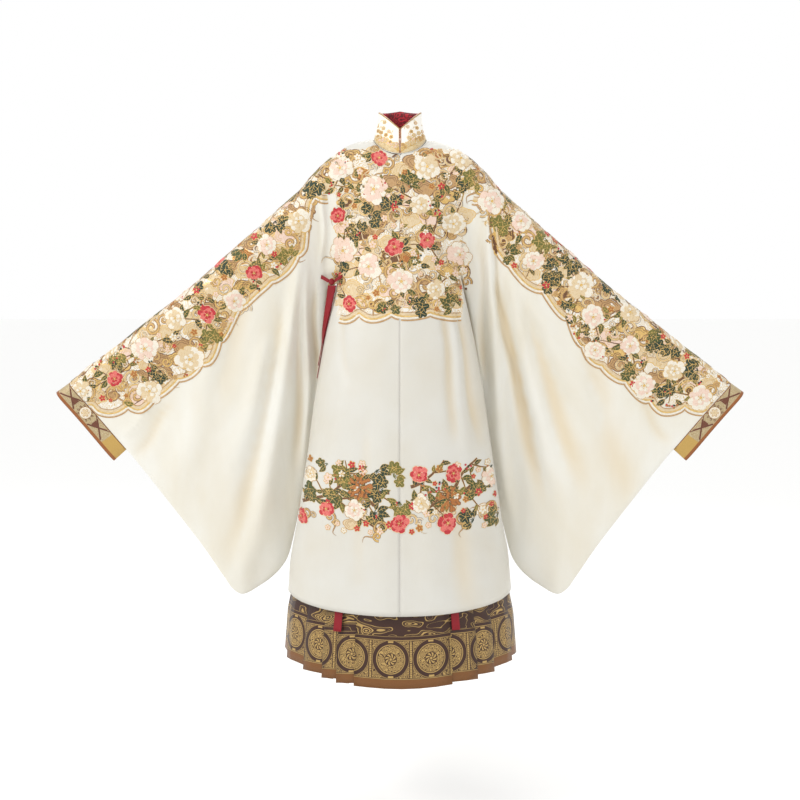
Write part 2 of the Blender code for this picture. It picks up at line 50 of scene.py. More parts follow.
COLLAR_TOP_HALF_WIDTH, COLLAR_TOP_DEPTH = 0.051, 0.060
COLLAR_TOP_Z_FRONT, COLLAR_TOP_Z_SIDE, COLLAR_TOP_Z_BACK = 0.038, 0.082, 0.091
SEAM_GAP = 0.0004
CENTRE_GAP = 0.00006
ARMHOLE_X, SHOULDER_Z, UNDERARM_Z, HEM_Z = 0.149, -0.012, -0.315, -1.070
ARMHOLE_ARM, ARMHOLE_SLACK = 0.066, 0.008
HEM_DROP_FRONT, HEM_DROP_BACK = 0.030, 0.014
LAPEL_STEP, LAPEL_RISE = 0.0030, 0.045
CUFF_TOP_IN, CUFF_LOW_IN = (0.8045, -0.567), (0.6685, -0.7305)
CUFF_TOP_OUT, CUFF_LOW_OUT = (0.837, -0.590), (0.7000, -0.759)
TIE_GAP, TUCK_BEHIND = 0.014, 0.0030
WAIST_Z, SKIRT_HEM_SIDE_Z, SKIRT_HEM_DROP = -0.400, -1.2265, 0.0425
DOOR_FREE_TURN, DOOR_FOLD_TURN, DOOR_UNDER_TURN = radians(23.6), radians(20.6), radians(12.5)
PLEAT_STEP_WAIST, PLEAT_STEP_HEM = 0.0027, 0.0050
HEM_STEP, DOOR_HEM_STEP = 0.0042, 0.001
UNDERLAP_WAIST, UNDERLAP_HEM = 0.010, 0.028
MEAN_RADIUS_WAIST, MEAN_RADIUS_HEM = 0.122, 0.258
PLEATS_OUTER = (0.0, 0.133, 0.259, 0.457, 0.755)
PLEATS_UNDER = (0.243, 0.412, 0.683, 0.90)
RIBBON_WIDTH = 0.020
CUFF_ARM, CUFF_SLACK = 0.016, 0.010
CUFF_PLAIN_FROM, CUFF_PLAIN_TO = 0.178, 0.293      # plain gold run round the cuff's lower fold
COLLAR_SPLIT = 0.0008       # half of the slit at the collar's front
ROBE_WALL, CUFF_WALL, COLLAR_WALL, LINING_WALL = 0.0011, 0.0016, 0.0013, 0.0009
SKIRT_WALL, WAISTBAND_WALL, RIBBON_WALL, STRAND_WALL = 0.0009, 0.0028, 0.0008, 0.0014
LINING_IN = 0.0018          # the collar's lining lies this far inside its outer face


def smooth(t):
    t = min(max(t, 0.0), 1.0)
    return t * t * (3 - 2 * t)


def lerp(a, b, t):
    return a + (b - a) * t


def shares(count):
    """Evenly spaced shares from 0 to 1, both included."""
    return [i / count for i in range(count + 1)]


class Table:
    """Rows with named columns, read between the rows by a smooth curve without overshoot."""

    def __init__(self, columns, *rows):
        self.names = columns.split()
        self.columns = dict(zip(self.names, map(list, zip(*sorted(rows)))))
        self.keys = self.columns[self.names[0]]

    def at(self, key, name):
        keys, values = self.keys, self.columns[name]
        key = min(max(key, keys[0]), keys[-1])
        last = len(keys) - 2
        i = min(sum(1 for k in keys[1:-1] if k <= key), last)

        def slope(j):
            return (values[j + 1] - values[j]) / (keys[j + 1] - keys[j])

        def tangent(j):
            if j == 0 or j == last + 1:
                return slope(min(j, last))
            before, after = slope(j - 1), slope(j)
            return 0.0 if before * after <= 0 else 2 * before * after / (before + after)

        width = keys[i + 1] - keys[i]
        t = (key - keys[i]) / width
        bend = t * (1 - t) * width
        straight = values[i] * (1 - t) + values[i + 1] * t
        return straight + bend * ((1 - t) * (tangent(i) - slope(i)) - t * (tangent(i + 1) - slope(i)))

    def straight(self, key, name):
        keys, values = self.keys, self.columns[name]
        i = min(max(sum(1 for k in keys if k <= key) - 1, 0), len(keys) - 2)
        return lerp(values[i], values[i + 1], (key - keys[i]) / (keys[i + 1] - keys[i]))


BODY = Table("z half_width front back",
    (-1.070, 0.2735, 0.200, 0.190), (-0.990, 0.2665, 0.192, 0.183), (-0.900, 0.2500, 0.183, 0.175),
    (-0.820, 0.2380, 0.174, 0.166), (-0.740, 0.2255, 0.165, 0.157), (-0.660, 0.2140, 0.155, 0.148),
    (-0.580, 0.2025, 0.145, 0.139), (-0.500, 0.1880, 0.136, 0.131), (-0.440, 0.1765, 0.129, 0.125),
    (-0.390, 0.1650, 0.124, 0.120), (-0.350, 0.1560, 0.120, 0.117), (-0.315, 0.1490, 0.118, 0.115))
CHEST = Table("z front back",
    (-0.315, 0.118, 0.115), (-0.200, 0.110, 0.112), (-0.100, 0.094, 0.104), (-0.021, 0.070, 0.088),
    (0.027, 0.064, 0.065))
RING = Table("row step bend",
    (0, 0.0, 40), (1, 0.015, 40), (2, 0.05, 42), (3, 0.10, 45), (4, 0.165, 48), (5, 0.25, 48),
    (6, 0.36, 48), (7, 0.49, 48), (8, 0.62, 48), (9, 0.75, 54), (10, 0.87, 62), (11, 0.955, 75),
    (12, 1.0, 90))
NECK_ROWS, LAST_ROW = 5, 12
SLEEVE = Table("station top_x top_z low_x low_z low_y arm slack",
    (0, 0.149, -0.012, 0.1490, -0.315, 0.000, 0.066, 0.008),
    (1, 0.175, -0.032, 0.1620, -0.362, 0.020, 0.064, 0.008),
    (2, 0.205, -0.061, 0.1885, -0.490, 0.030, 0.062, 0.008),
    (3, 0.245, -0.106, 0.2130, -0.650, 0.040, 0.060, 0.008),
    (4, 0.285, -0.141, 0.2370, -0.810, 0.040, 0.058, 0.008),
    (5, 0.330, -0.182, 0.2640, -0.950, 0.036, 0.055, 0.008),
    (5.5, 0.352, -0.201, 0.2790, -1.004, 0.030, 0.0535, 0.008),
    (6, 0.375, -0.220, 0.3030, -1.038, 0.020, 0.052, 0.008),
    (7, 0.425, -0.263, 0.3450, -1.070, 0.010, 0.049, 0.007),
    (8, 0.475, -0.308, 0.3900, -1.0905, 0.000, 0.046, 0.007),
    (8.5, 0.500, -0.329, 0.4120, -1.0780, 0.000, 0.0445, 0.007),
    (9, 0.525, -0.350, 0.4320, -1.0500, 0.000, 0.043, 0.007),
    (10, 0.580, -0.392, 0.4800, -0.978, 0.000, 0.039, 0.007),
    (11, 0.635, -0.435, 0.5300, -0.910, 0.000, 0.034, 0.008),
    (12, 0.690, -0.479, 0.5780, -0.847, 0.000, 0.028, 0.009),
    (13, 0.7475, -0.521, 0.6250, -0.786, 0.000, 0.021, 0.010),
    (14, *CUFF_TOP_IN, *CUFF_LOW_IN, 0.000, 0.016, 0.010))
LAPEL_EDGE = Table("share row",
    (0.00, 5.00), (0.03, 5.04), (0.15, 5.35), (0.29, 5.70), (0.43, 6.10), (0.57, 6.60), (0.71, 7.20),
    (0.83, 8.00), (0.91, 9.60))
STREAMER = Table("z off front turn_deg",
    (-0.560, 0.0022, 0.011, 84), (-0.530, 0.0020, 0.012, 84), (-0.480, 0.0020, 0.014, 84),
    (-0.444, 0.0014, 0.018, 68), (-0.410, 0.0012, 0.023, 55), (-0.360, 0.0010, 0.029, 35),
    (-0.330, 0.0005, 0.035, 12))
SKIRT = Table("share half_width depth",
    (-0.05, 0.1280, 0.1000), (0.00, 0.1380, 0.1050), (0.28, 0.1960, 0.1370), (0.56, 0.2490, 0.1640),
    (0.80, 0.2842, 0.1862), (0.88, 0.2990, 0.1950), (1.00, 0.3080, 0.2120))

# Folds: x and z of the upper end and of the lower one, half width at each, and height.
# A trough's height is below zero.
BODY_FOLDS_FRONT = (
    (0.100, -0.385, 0.139, -0.700, 0.007, 0.016, -0.0060),
    (0.118, -0.395, 0.160, -0.760, 0.007, 0.020, 0.0045),
    (0.138, -0.390, 0.190, -0.690, 0.006, 0.014, -0.0055),
    (-0.146, -0.345, -0.085, -0.415, 0.006, 0.010, -0.0030),
    (-0.150, -0.360, -0.120, -0.560, 0.006, 0.014, -0.0035),
    (-0.135, -0.560, -0.175, -0.950, 0.016, 0.030, 0.0035),
    (-0.080, -0.640, -0.100, -1.090, 0.018, 0.034, -0.0035),
    (0.060, -0.700, 0.085, -1.095, 0.020, 0.034, 0.0040),
    (0.125, -0.760, 0.165, -1.085, 0.016, 0.030, -0.0040),
    (-0.018, -0.720, -0.030, -1.095, 0.018, 0.030, 0.0030),
    (0.128, -0.080, 0.112, -0.300, 0.010, 0.012, -0.0035),
    (-0.128, -0.080, -0.118, -0.300, 0.010, 0.012, -0.0030),
    (0.020, -0.300, 0.012, -0.520, 0.020, 0.028, 0.0018))
BODY_FOLDS_BACK = (
    (0.110, -0.330, 0.170, -0.760, 0.010, 0.022, -0.0060),
    (-0.112, -0.345, -0.150, -0.700, 0.009, 0.020, -0.0055),
    (0.060, -0.500, 0.095, -1.070, 0.018, 0.034, 0.0060),
    (-0.040, -0.560, -0.055, -1.075, 0.018, 0.032, 0.0050),
    (-0.118, -0.600, -0.168, -1.060, 0.020, 0.030, 0.0048),
    (0.020, -0.620, 0.020, -1.075, 0.014, 0.026, -0.0045),
    (0.125, -0.700, 0.190, -1.050, 0.018, 0.028, -0.0050),
    (0.126, -0.070, 0.116, -0.300, 0.010, 0.014, -0.0045),
    (-0.126, -0.070, -0.120, -0.290, 0.010, 0.014, -0.0040))
SLEEVE_FOLDS_RIGHT = (
    (0.232, -0.26, 0.372, -1.02, 0.016, 0.034, 0.013), (0.262, -0.34, 0.400, -0.98, 0.014, 0.030, -0.008),
    (0.312, -0.46, 0.398, -0.76, 0.016, 0.030, 0.008), (0.180, -0.08, 0.186, -0.27, 0.006, 0.007, 0.0040),
    (0.206, -0.34, 0.206, -0.62, 0.006, 0.008, -0.0055), (0.221, -0.30, 0.230, -0.72, 0.007, 0.012, 0.0055),
    (0.241, -0.36, 0.256, -0.76, 0.006, 0.014, -0.0065), (0.430, -0.46, 0.545, -0.82, 0.026, 0.040, 0.006),
    (0.560, -0.62, 0.640, -0.74, 0.010, 0.014, -0.004), (0.590, -0.60, 0.668, -0.70, 0.008, 0.010, 0.004),
    (0.340, -0.30, 0.470, -0.62, 0.020, 0.036, -0.004))
SLEEVE_FOLDS_LEFT = (
    (0.200, -0.12, 0.228, -0.60, 0.010, 0.014, 0.0055), (0.214, -0.18, 0.256, -0.48, 0.004, 0.007, -0.0050),
    (0.246, -0.44, 0.345, -0.72, 0.006, 0.012, -0.0060), (0.232, -0.33, 0.345, -0.82, 0.007, 0.020, -0.009),
    (0.252, -0.30, 0.395, -0.86, 0.012, 0.030, 0.009), (0.275, -0.33, 0.485, -0.66, 0.016, 0.034, 0.010),
    (0.214, -0.30, 0.268, -0.92, 0.010, 0.022, 0.008), (0.300, -0.38, 0.440, -0.80, 0.012, 0.030, -0.007),
    (0.450, -0.50, 0.560, -0.84, 0.024, 0.036, -0.005), (0.575, -0.60, 0.650, -0.71, 0.008, 0.012, -0.004),
    (0.196, -0.24, 0.210, -0.56, 0.008, 0.014, -0.005))

FOLD_DEPTH = 1.35           # the tables' heights were read low, and are raised by this
SLEEVE_ROWS, LAST_STATION = 220, 14
FULL_SHADE_DEPTH = 0.011         # depth of a trough that shows the painted warm shade in full
CENTRE_STRIP = 0.003        # cloth this near the middle isn't pushed across it
TIE_PLACE, TIE_ROOM = Vector((-0.152, -0.040, -0.318)), 0.030      # no folds within this of the tie
UNDER_LAPEL_SIDE, UNDER_LAPEL_DENT, UNDER_LAPEL_REACH = Vector((-0.149, -0.021, -0.328)), 0.0034, 0.022
SEAM_FADE = 0.03            # folds of the body fade out over this towards the armholes
EDGE_SHADE_WIDTH = 0.016         # width of a strip of painted warm shade along the sleeves' lower folds near the body, a painted shadow of the gap there
WAISTBAND_TOP_Z, WAISTBAND_LOW_Z = -0.360, -0.440
WAISTBAND_OUT = SKIRT_WALL + 0.0030 + 0.0005    # outer face of the waistband over the skirt's middle face
SKIRT_PROBE = 0.02          # a ray towards the skirt starts this far outside the robe
ROBE_ROOM = 0.0040          # outer face of the robe over the skirt, its own wall included
ROUNDEL_CELL, ROUNDEL_HEIGHT = 0.097, 0.0680
ROUNDEL_SHIFT = 0.0265      # u at the middle of the front; a roundel's centre lies at half a cell
FLOOR_Z = -1.62
CAMERA_PLACE, CAMERA_TILT = (0, -3.5, -0.30744), radians(4.9407)
LENS, SENSOR_WIDTH = 64.79, 36.0
LAMP_TARGET = Vector((0, 0, -0.6))


def fold_height(x, z, folds):
    """Sum of the folds at a place: each rises across its run and fades out past its ends."""
    total = 0.0
    for x_up, z_up, x_low, z_low, wide_up, wide_low, height in folds:
        run_x, run_z = x_low - x_up, z_low - z_up
        length = hypot(run_x, run_z)
        along = ((x - x_up) * run_x + (z - z_up) * run_z) / length ** 2
        if not -0.2 < along < 1.25:
            continue
        across = ((x - x_up) * run_z - (z - z_up) * run_x) / length
        across += 0.004 * sin(7 * along + 40 * height)
        wide = lerp(wide_up, wide_low, min(max(along, 0.0), 1.0))
        begins, ends = smooth((along + 0.12) / 0.3), smooth((1.18 - along) / 0.4)
        total += FOLD_DEPTH * height * begins * ends * exp(-(across / wide) ** 2)
    return total


def ripple(place, size, seed):
    """Small uneven waves of the cloth."""
    return noise.noise(Vector((place[0] / size, place[1] / size, place[2] / size * 0.6 + seed)))


# ---- materials
def linear(*rgb):
    """Scene-linear colour of an sRGB one given from 0 to 255."""
    return tuple(c / 255 / 12.92 if c <= 10 else ((c / 255 + 0.055) / 1.055) ** 2.4 for c in rgb)


class Value:
    """What a node gives out; sums and products of it add nodes to its paint."""

    def __init__(self, paint, socket):
        self.paint, self.socket = paint, socket

    def math(self, operation, *others):
        return self.paint.math(operation, self, *others)

    def __add__(self, other):
        return self.math("ADD", other)

    def __sub__(self, other):
        return self.math("SUBTRACT", other)

    def __rsub__(self, other):
        return self.paint.math("SUBTRACT", other, self)

    def __mul__(self, other):
        return self.math("MULTIPLY", other)

    def __or__(self, other):
        """The greater of the two: one figure laid over another."""
        return self.math("MAXIMUM", other)

    def __abs__(self):
        return self.math("ABSOLUTE")

    def step(self, edge, soft):
        """0 below the edge and 1 above it."""
        made = self.paint.node("MapRange", interpolation_type="SMOOTHSTEP")
        for socket, value in zip(made.inputs, (self, edge - soft, edge + soft)):
            self.paint.feed(socket, value)
        return Value(self.paint, made.outputs[0])

    def band(self, low, high, soft):
        """1 between two edges and 0 beyond them."""
        return self.step(low, soft) * (1.0 - self.step(high, soft))

    def ripples(self, period):
        """0 to 1 and back as the value grows by a period."""
        return (self * (2 * pi / period)).math("SINE").math("MULTIPLY_ADD", 0.5, 0.5)


class Paint:
    """A Principled material and short calls for its nodes; colours are sRGB, from 0 to 255."""

    def __init__(self, name, roughness=0.5, specular=0.4, sheen=0.0, metallic=0.0):
        self.material = bpy.data.materials.new(name)
        self.material.use_nodes = True
        self.tree = self.material.node_tree
        self.shader = self.tree.nodes["Principled BSDF"]
        self.shader.inputs["Roughness"].default_value = roughness
        self.shader.inputs["Specular IOR Level"].default_value = specular
        self.shader.inputs["Metallic"].default_value = metallic
        self.shader.inputs["Sheen Weight"].default_value = sheen
        self.shader.inputs["Sheen Roughness"].default_value = 0.35

    def node(self, kind, **values):
        made = self.tree.nodes.new("ShaderNode" + kind)
        for key, value in values.items():
            if hasattr(made, key):
                setattr(made, key, value)
            else:
                made.inputs[key].default_value = value
        return made

    def feed(self, target, value):
        if isinstance(value, Value):
            self.tree.links.new(value.socket, target)
        elif isinstance(value, tuple):
            target.default_value = (*linear(*value), 1.0)
        else:
            target.default_value = value

    def math(self, operation, *values):
        made = self.node("Math", operation=operation)
        for socket, value in zip(made.inputs, values):
            self.feed(socket, value)
        return Value(self, made.outputs[0])

    def mix(self, factor, a, b):
        made = self.node("Mix", data_type="RGBA")
        for key, value in (("Factor", factor), (6, a), (7, b)):
            self.feed(made.inputs[key], value)
        return Value(self, made.outputs[2])

    def uv(self):
        """The map of the cloth, in metres."""
        split = self.node("SeparateXYZ")
        self.tree.links.new(self.node("UVMap", uv_map="cloth").outputs[0], split.inputs[0])
        return Value(self, split.outputs[0]), Value(self, split.outputs[1])

    def attribute(self, name):
        return Value(self, self.node("Attribute", attribute_name=name).outputs["Fac"])

    def join(self, u, v):
        made = self.node("CombineXYZ")
        self.feed(made.inputs[0], u)
        self.feed(made.inputs[1], v)
        return Value(self, made.outputs[0])

    def noise(self, u, v, scale=1.0, detail=2.0, rough=0.5):
        made = self.node("TexNoise", Scale=scale, Detail=detail, Roughness=rough)
        self.feed(made.inputs["Vector"], self.join(u, v))
        return Value(self, made.outputs["Fac"])

    def colour(self, value):
        self.feed(self.shader.inputs["Base Color"], value)

    def bump(self, height, distance, strength):
        made = self.node("Bump", Distance=distance, Strength=strength)
        self.feed(made.inputs["Height"], height)
        self.tree.links.new(made.outputs[0], self.shader.inputs["Normal"])


def satin(name, light, warm):
    """Silk satin: long floats along the cloth, a soft slub, a warm cast in random patches, and painted warm
    shade in the troughs of the folds.
    """
    paint = Paint(name, roughness=0.40, specular=0.42, sheen=0.12)
    u, v = paint.uv()
    slub = paint.noise(u * 900.0, v * 60.0)
    tone = slub.math("MULTIPLY_ADD", 0.12, paint.noise(u, v, 5.0, 3.0) * 0.9)
    bare = paint.mix(tone.step(0.5, 0.30), light, warm)
    # painted shade: the troughs of the folds are mixed towards a warm beige, as if in shadow
    bare = paint.mix(paint.attribute("hollow") * 0.68, bare, (212, 190, 148))
    figure = paint.noise(u, v, 42.0, 1.0, 0.4).ripples(0.075).step(0.74, 0.12)
    ground = paint.mix(figure, (226, 222, 213), (206, 180, 130))
    paint.colour(paint.mix(paint.attribute("field"), bare, ground))
    threads = u.ripples(0.00042) * 0.5 + v.ripples(0.0011) * 0.35
    paint.bump(threads + slub * 0.7, 0.00009, 0.5)
    paint.feed(paint.shader.inputs["Roughness"], slub.math("MULTIPLY_ADD", 0.10, 0.34))
    return paint.material


def plain_silk(name, light, dark):
    paint = Paint(name, roughness=0.48, specular=0.35, sheen=0.06)
    u, v = paint.uv()
    grain = paint.noise(u * 220.0, v * 1400.0)
    patches = paint.noise(u, v, 22.0, 3.0)
    paint.colour(paint.mix(grain.math("MULTIPLY_ADD", 0.5, patches * 0.5), dark, light))
    paint.bump(u.ripples(0.0006) + v.ripples(0.0006), 0.00010, 0.6)
    return paint.material


def lining_silk(name, light, dark):
    """Red damask: leaf sprays woven in a duller thread."""
    paint = Paint(name, roughness=0.38, specular=0.5, sheen=0.2)
    u, v = paint.uv()
    bent = paint.noise(u, v, 60.0, 1.0)
    rings = paint.node("TexVoronoi", Scale=70.0, feature="F1")
    paint.feed(rings.inputs["Vector"], paint.join(u + bent * 0.02, v))
    spray = Value(paint, rings.outputs["Distance"]).ripples(0.32)
    paint.colour(paint.mix(spray.step(0.55, 0.12), dark, light))
    paint.bump(u.ripples(0.0006) + spray, 0.00012, 0.6)
    return paint.material


def thread(name, tone, second, rung=0.0, gold=0.0):
    """Embroidery silk: stitches side by side, and where rung is set, rungs of the second shade."""
    paint = Paint(name, roughness=0.40 if gold else 0.50, specular=0.5, sheen=0.15, metallic=gold)
    u, v = paint.uv()
    uneven = paint.noise(u * 700.0, v * 120.0)
    if rung:
        shade = uneven.math("MULTIPLY_ADD", 0.4, v.ripples(rung)).step(0.78, 0.14)
    else:
        shade = uneven.step(0.55, 0.22)
    paint.colour(paint.mix(shade, tone, second))
    paint.bump(u.ripples(0.0007) + uneven * 0.6, 0.00022, 0.8)
    return paint.material


def skirt_brocade(name):
    """Dark brown cloth with gold clouds, a border of roundels, and a plain strip at the hem.

    The map runs round the hem in u and up from the hem in v, in metres.
    """
    paint = Paint(name, roughness=0.46, specular=0.4, sheen=0.08)
    u, v = paint.uv()
    across = (u.math("DIVIDE", ROUNDEL_CELL).math("FRACT") - 0.5) * ROUNDEL_CELL
    height = v - ROUNDEL_HEIGHT
    radius = (across * across + height * height).math("SQRT")
    turn = height.math("ARCTAN2", across)
    weave = (u + v).ripples(0.0013)
    fine = paint.noise(u, v, 900.0, 1.0)
    curl = paint.noise(u, v, 95.0, 1.0, 0.4).ripples(0.085)
    scroll = paint.noise(u, v + 3.0, 88.0, 1.0, 0.4).ripples(0.10)

    petals = (turn + radius * 60.0).ripples(2 * pi / 8)
    rosette = petals.step(0.42, 0.10) * radius.band(0.0045, 0.0130, 0.0006)
    rosette |= 1.0 - radius.step(0.0030, 0.0004)
    vines = scroll.step(0.30, 0.08) * radius.band(0.0148, 0.0312, 0.0006)
    rings = radius.band(0.0326, 0.0345, 0.0003) | radius.band(0.0436, 0.0445, 0.0002)
    notches = radius.band(0.0385, 0.0436, 0.0005) * abs(turn.math("SINE")).step(0.988, 0.003)
    gutter = abs(across).band(0.0440, 0.0460, 0.0003)
    corners = radius.step(0.0453, 0.0004) * curl.step(0.42, 0.10) * (1.0 - gutter)
    beads = abs(across).step(0.0462, 0.0003) * v.ripples(0.0050).step(0.45, 0.2)
    border = (rosette | vines | (rings | notches) | (corners | beads)) * v.band(0.0245, 0.1105, 0.0005)
    for low, high in ((0.0218, 0.0232), (0.1118, 0.1132), (0.1205, 0.1212)):
        border |= v.band(low, high, 0.0003)

    drift = paint.noise(u, v * 2.1, 15.0, 1.0, 0.35)
    clouds = drift.step(0.560, 0.010) * drift.ripples(0.034).step(0.52, 0.12)
    clouds = clouds | drift.band(0.515, 0.530, 0.003) | drift.band(0.375, 0.382, 0.003)
    raised = border | clouds * v.step(0.1225, 0.0005)

    ground = paint.mix(weave * 0.7, (64, 34, 20), (40, 20, 12))
    gold = paint.mix(fine, (164, 128, 68), (195, 167, 108))
    tan = paint.mix(weave.math("MULTIPLY_ADD", 0.4, fine * 0.5), (134, 86, 36), (92, 56, 24))
    strip = 1.0 - v.step(0.0212, 0.0004)
    paint.colour(paint.mix(strip, paint.mix(raised, ground, gold), tan))
    paint.feed(paint.shader.inputs["Metallic"], raised * 0.30)
    paint.bump(raised + weave * 0.3, 0.00025, 0.6)
    return paint.material


def cuff_brocade(name):
    """Gold ground with fine curls; u runs down from the top fold and v across the band."""
    paint = Paint(name, roughness=0.42, specular=0.5, sheen=0.1, metallic=0.15)
    u, v = paint.uv()
    fine = paint.noise(u, v, 480.0, 3.0, 0.6)
    curl = paint.noise(u, v, 150.0, 1.0, 0.4).ripples(0.09)
    figured = paint.mix(curl.step(0.55, 0.15), (188, 174, 138), (160, 132, 90))
    gold = paint.mix(fine, (170, 134, 62), (198, 164, 94))
    brown = paint.mix(fine, (162, 100, 46), (126, 70, 30))
    ground = paint.mix(u.band(CUFF_PLAIN_FROM, CUFF_PLAIN_TO, 0.0006), figured, gold)
    edges = v.step(0.0322, 0.0004) + (1.0 - v.step(0.0012, 0.0003))
    paint.colour(paint.mix(edges, ground, brown))
    paint.bump(curl * 0.5 + v.band(0.0316, 0.0330, 0.0004), 0.0003, 0.6)
    return paint.material


# The body's ivory satin is darker than the sleeves': partly a cooler tint of its own, partly painted shade
# over the whole body.
IVORY = satin("ivory_satin_body", (210, 209, 203), (203, 198, 185))
CREAM = satin("ivory_satin_sleeve", (225, 224, 217), (217, 211, 195))
COLLAR_SATIN = satin("white_satin_collar", (244, 242, 236), (238, 230, 212))
RED = plain_silk("red_silk", (158, 14, 32), (104, 5, 18))
RED_DAMASK = lining_silk("red_damask", (190, 30, 48), (112, 6, 18))
SKIRT_CLOTH = skirt_brocade("brown_gold_brocade")
CUFF_CLOTH = cuff_brocade("gold_brocade")


# ---- cloth pieces
def add(name, data):
    made = bpy.data.objects.new(name, data)
    bpy.context.scene.collection.objects.link(made)
    return made


def runs(row):
    """Distance along a row to each of its points, and round to the first."""
    run = [0.0]
    for a, b in zip(row, row[1:] + row[:1]):
        run.append(run[-1] + (b - a).length)
    return run


def cloth(name, rows, wall, finish, flip=False, closed=False, offset=-1.0, lift=None, uv=None,
          replaces=(), hollow=None):
    """Thin wall through rows of points, with a map in metres along and up the cloth."""
    width = len(rows[0])
    if uv is None:
        up = [0.0]
        for lower, upper in zip(rows, rows[1:]):
            up.append(up[-1] + (upper[width // 2] - lower[width // 2]).length)
        uv = [[(u, up[i]) for u in runs(row)] for i, row in enumerate(rows)]
    faces, corners = [], []
    for i in range(len(rows) - 1):
        for j in range(width if closed else width - 1):
            k = (j + 1) % width
            face = [(i, j, j), (i, k, j + 1), (i + 1, k, j + 1), (i + 1, j, j)]
            if flip:
                face.reverse()
            faces.append([a * width + b for a, b, c in face])
            corners += [uv[a][c] for a, b, c in face]
    mesh = bpy.data.meshes.new(name)
    mesh.from_pydata([p for row in rows for p in row], [], faces)
    layer = mesh.uv_layers.new(name="cloth")
    for loop, place in zip(layer.data, corners):
        loop.uv = place
    mesh.shade_smooth()
    if lift:
        hollow = [lift(v.co, v.normal) for v in mesh.vertices]
        moves = [v.normal * height for v, height in zip(mesh.vertices, hollow)]
        for vertex, move in zip(mesh.vertices, moves):
            if abs(vertex.co.x) < CENTRE_STRIP:
                move.x = 0.0
            vertex.co += move
    # painted shade: how deep each trough lies, as a share of the full depth, kept for the satin to darken and
    # warm
    if hollow:
        shade = mesh.attributes.new("hollow", "FLOAT", "POINT")
        shade.data.foreach_set("value", [min(max(-height / FULL_SHADE_DEPTH, 0.0), 1.0) for height in hollow])
    mesh.update()
    piece = add(name, mesh)
    mesh.materials.append(finish)
    solidify = piece.modifiers.new("wall", "SOLIDIFY")
    solidify.thickness, solidify.offset, solidify.use_rim = wall, offset, True
    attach(piece, "root")
    if replaces:
        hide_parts(*replaces)
    return piece


def tree_of(*pieces):
    """Ray target of the pieces' outer faces."""
    points, faces = [], []
    for piece in pieces:
        start = len(points)
        points += [v.co.copy() for v in piece.data.vertices]
        faces += [[start + i for i in p.vertices] for p in piece.data.polygons]
    return BVHTree.FromPolygons(points, faces)


def ribbon(node, stations, wall=RIBBON_WALL, sag=0.0002, count=8):
    """Cloth strip through stations of middle, direction across and width."""
    rows = []
    for number, (middle, across, width) in enumerate(stations):
        half = Vector(across).normalized() * width / 2
        out = Vector((half.y, -half.x, 0)).normalized()
        rows.append([Vector(middle) + half * t + out * sag * (1 - t * t) * sin(number * 0.55)
                     for t in (2 * j / count - 1 for j in range(count + 1))])
    return cloth(node + "_cloth", rows, wall, RED, offset=0.0, replaces=[node])


# ---- skirt
def skirt_point(turn, level, share, rise=0.0):
    """Place on the skirt; level counts the layers of pleats inwards, and rise lifts the hem."""
    share -= rise * smooth((share - 0.55) / 0.35) / 0.85
    hem_z = SKIRT_HEM_SIDE_Z - SKIRT_HEM_DROP * cos(turn) ** 2
    inward = level * lerp(PLEAT_STEP_WAIST, PLEAT_STEP_HEM, share)
    return Vector(((SKIRT.straight(share, "half_width") - inward) * sin(turn),
                   -(SKIRT.straight(share, "depth") - inward) * cos(turn),
                   lerp(WAIST_Z, hem_z, share)))


def wrap_row(share):
    """Turn, level and rise of the hem at the points of one skirt half, a share of the way down."""
    lap = lerp(UNDERLAP_WAIST, UNDERLAP_HEM, share) / lerp(MEAN_RADIUS_WAIST, MEAN_RADIUS_HEM, share)
    outer = [lerp(DOOR_FOLD_TURN, pi / 2, part) for part in PLEATS_OUTER]
    backs = [pi - lerp(DOOR_FOLD_TURN, pi / 2, part) for part in reversed(PLEATS_UNDER)]
    places = [(lerp(-DOOR_FREE_TURN, outer[0] - lap, t), 0, 0.0) for t in shares(5)]
    for level, fold in enumerate(outer):
        low = -HEM_STEP if level else -DOOR_HEM_STEP
        places += [(fold, level, low), (fold, level + 0.5, low), (fold - lap, level + 0.5, 0.0),
                   (fold - lap, level + 1, HEM_STEP)]
        last_panel = level + 1 == len(outer)
        following = pi / 2 + lap if last_panel else outer[level + 1]
        part = 0.5 if last_panel else 1 - lap / (following - fold)
        panel = sorted(((fold, HEM_STEP), (following - lap, HEM_STEP * (1 - 2 * part))))
        places += [(turn, level + 1, rise) for turn, rise in panel]
    level = len(outer)
    for fold, following in zip(backs, backs[1:] + [pi - DOOR_FREE_TURN]):
        part = lap / (following - fold)
        places += [(fold, level, HEM_STEP), (fold + lap, level, HEM_STEP), (fold + lap, level - 0.5, 0.0),
                   (fold, level - 0.5, -HEM_STEP), (fold, level - 1, -HEM_STEP),
                   (fold + lap, level - 1, HEM_STEP * (2 * part - 1))]
        level -= 1
    last, low = backs[-1] + lap, 2 * part - 1
    for t in shares(5)[1:]:
        turn = lerp(last, pi + DOOR_UNDER_TURN, t)
        rise = lerp(low, 1.0, min((turn - last) / (pi - DOOR_FREE_TURN - last), 1.0)) * HEM_STEP
        places.append((turn, level, rise))
    return places


HEM_ARC = [0.0]              # distance round the hem, degree by degree
for degree in range(360):
    middle = radians(degree + 0.5)
    HEM_ARC.append(HEM_ARC[-1] + radians(1) * hypot(SKIRT.columns["half_width"][-1] * cos(middle),
                                                    SKIRT.columns["depth"][-1] * sin(middle)))


def hem_arc(turn):
    """Distance round the hem, counted from ROUNDEL_SHIFT at the middle of the front."""
    place = abs(turn) * 180 / pi
    i = int(place)
    arc = lerp(HEM_ARC[i], HEM_ARC[i + 1], place - i)
    return (arc if turn >= 0 else -arc) + ROUNDEL_SHIFT


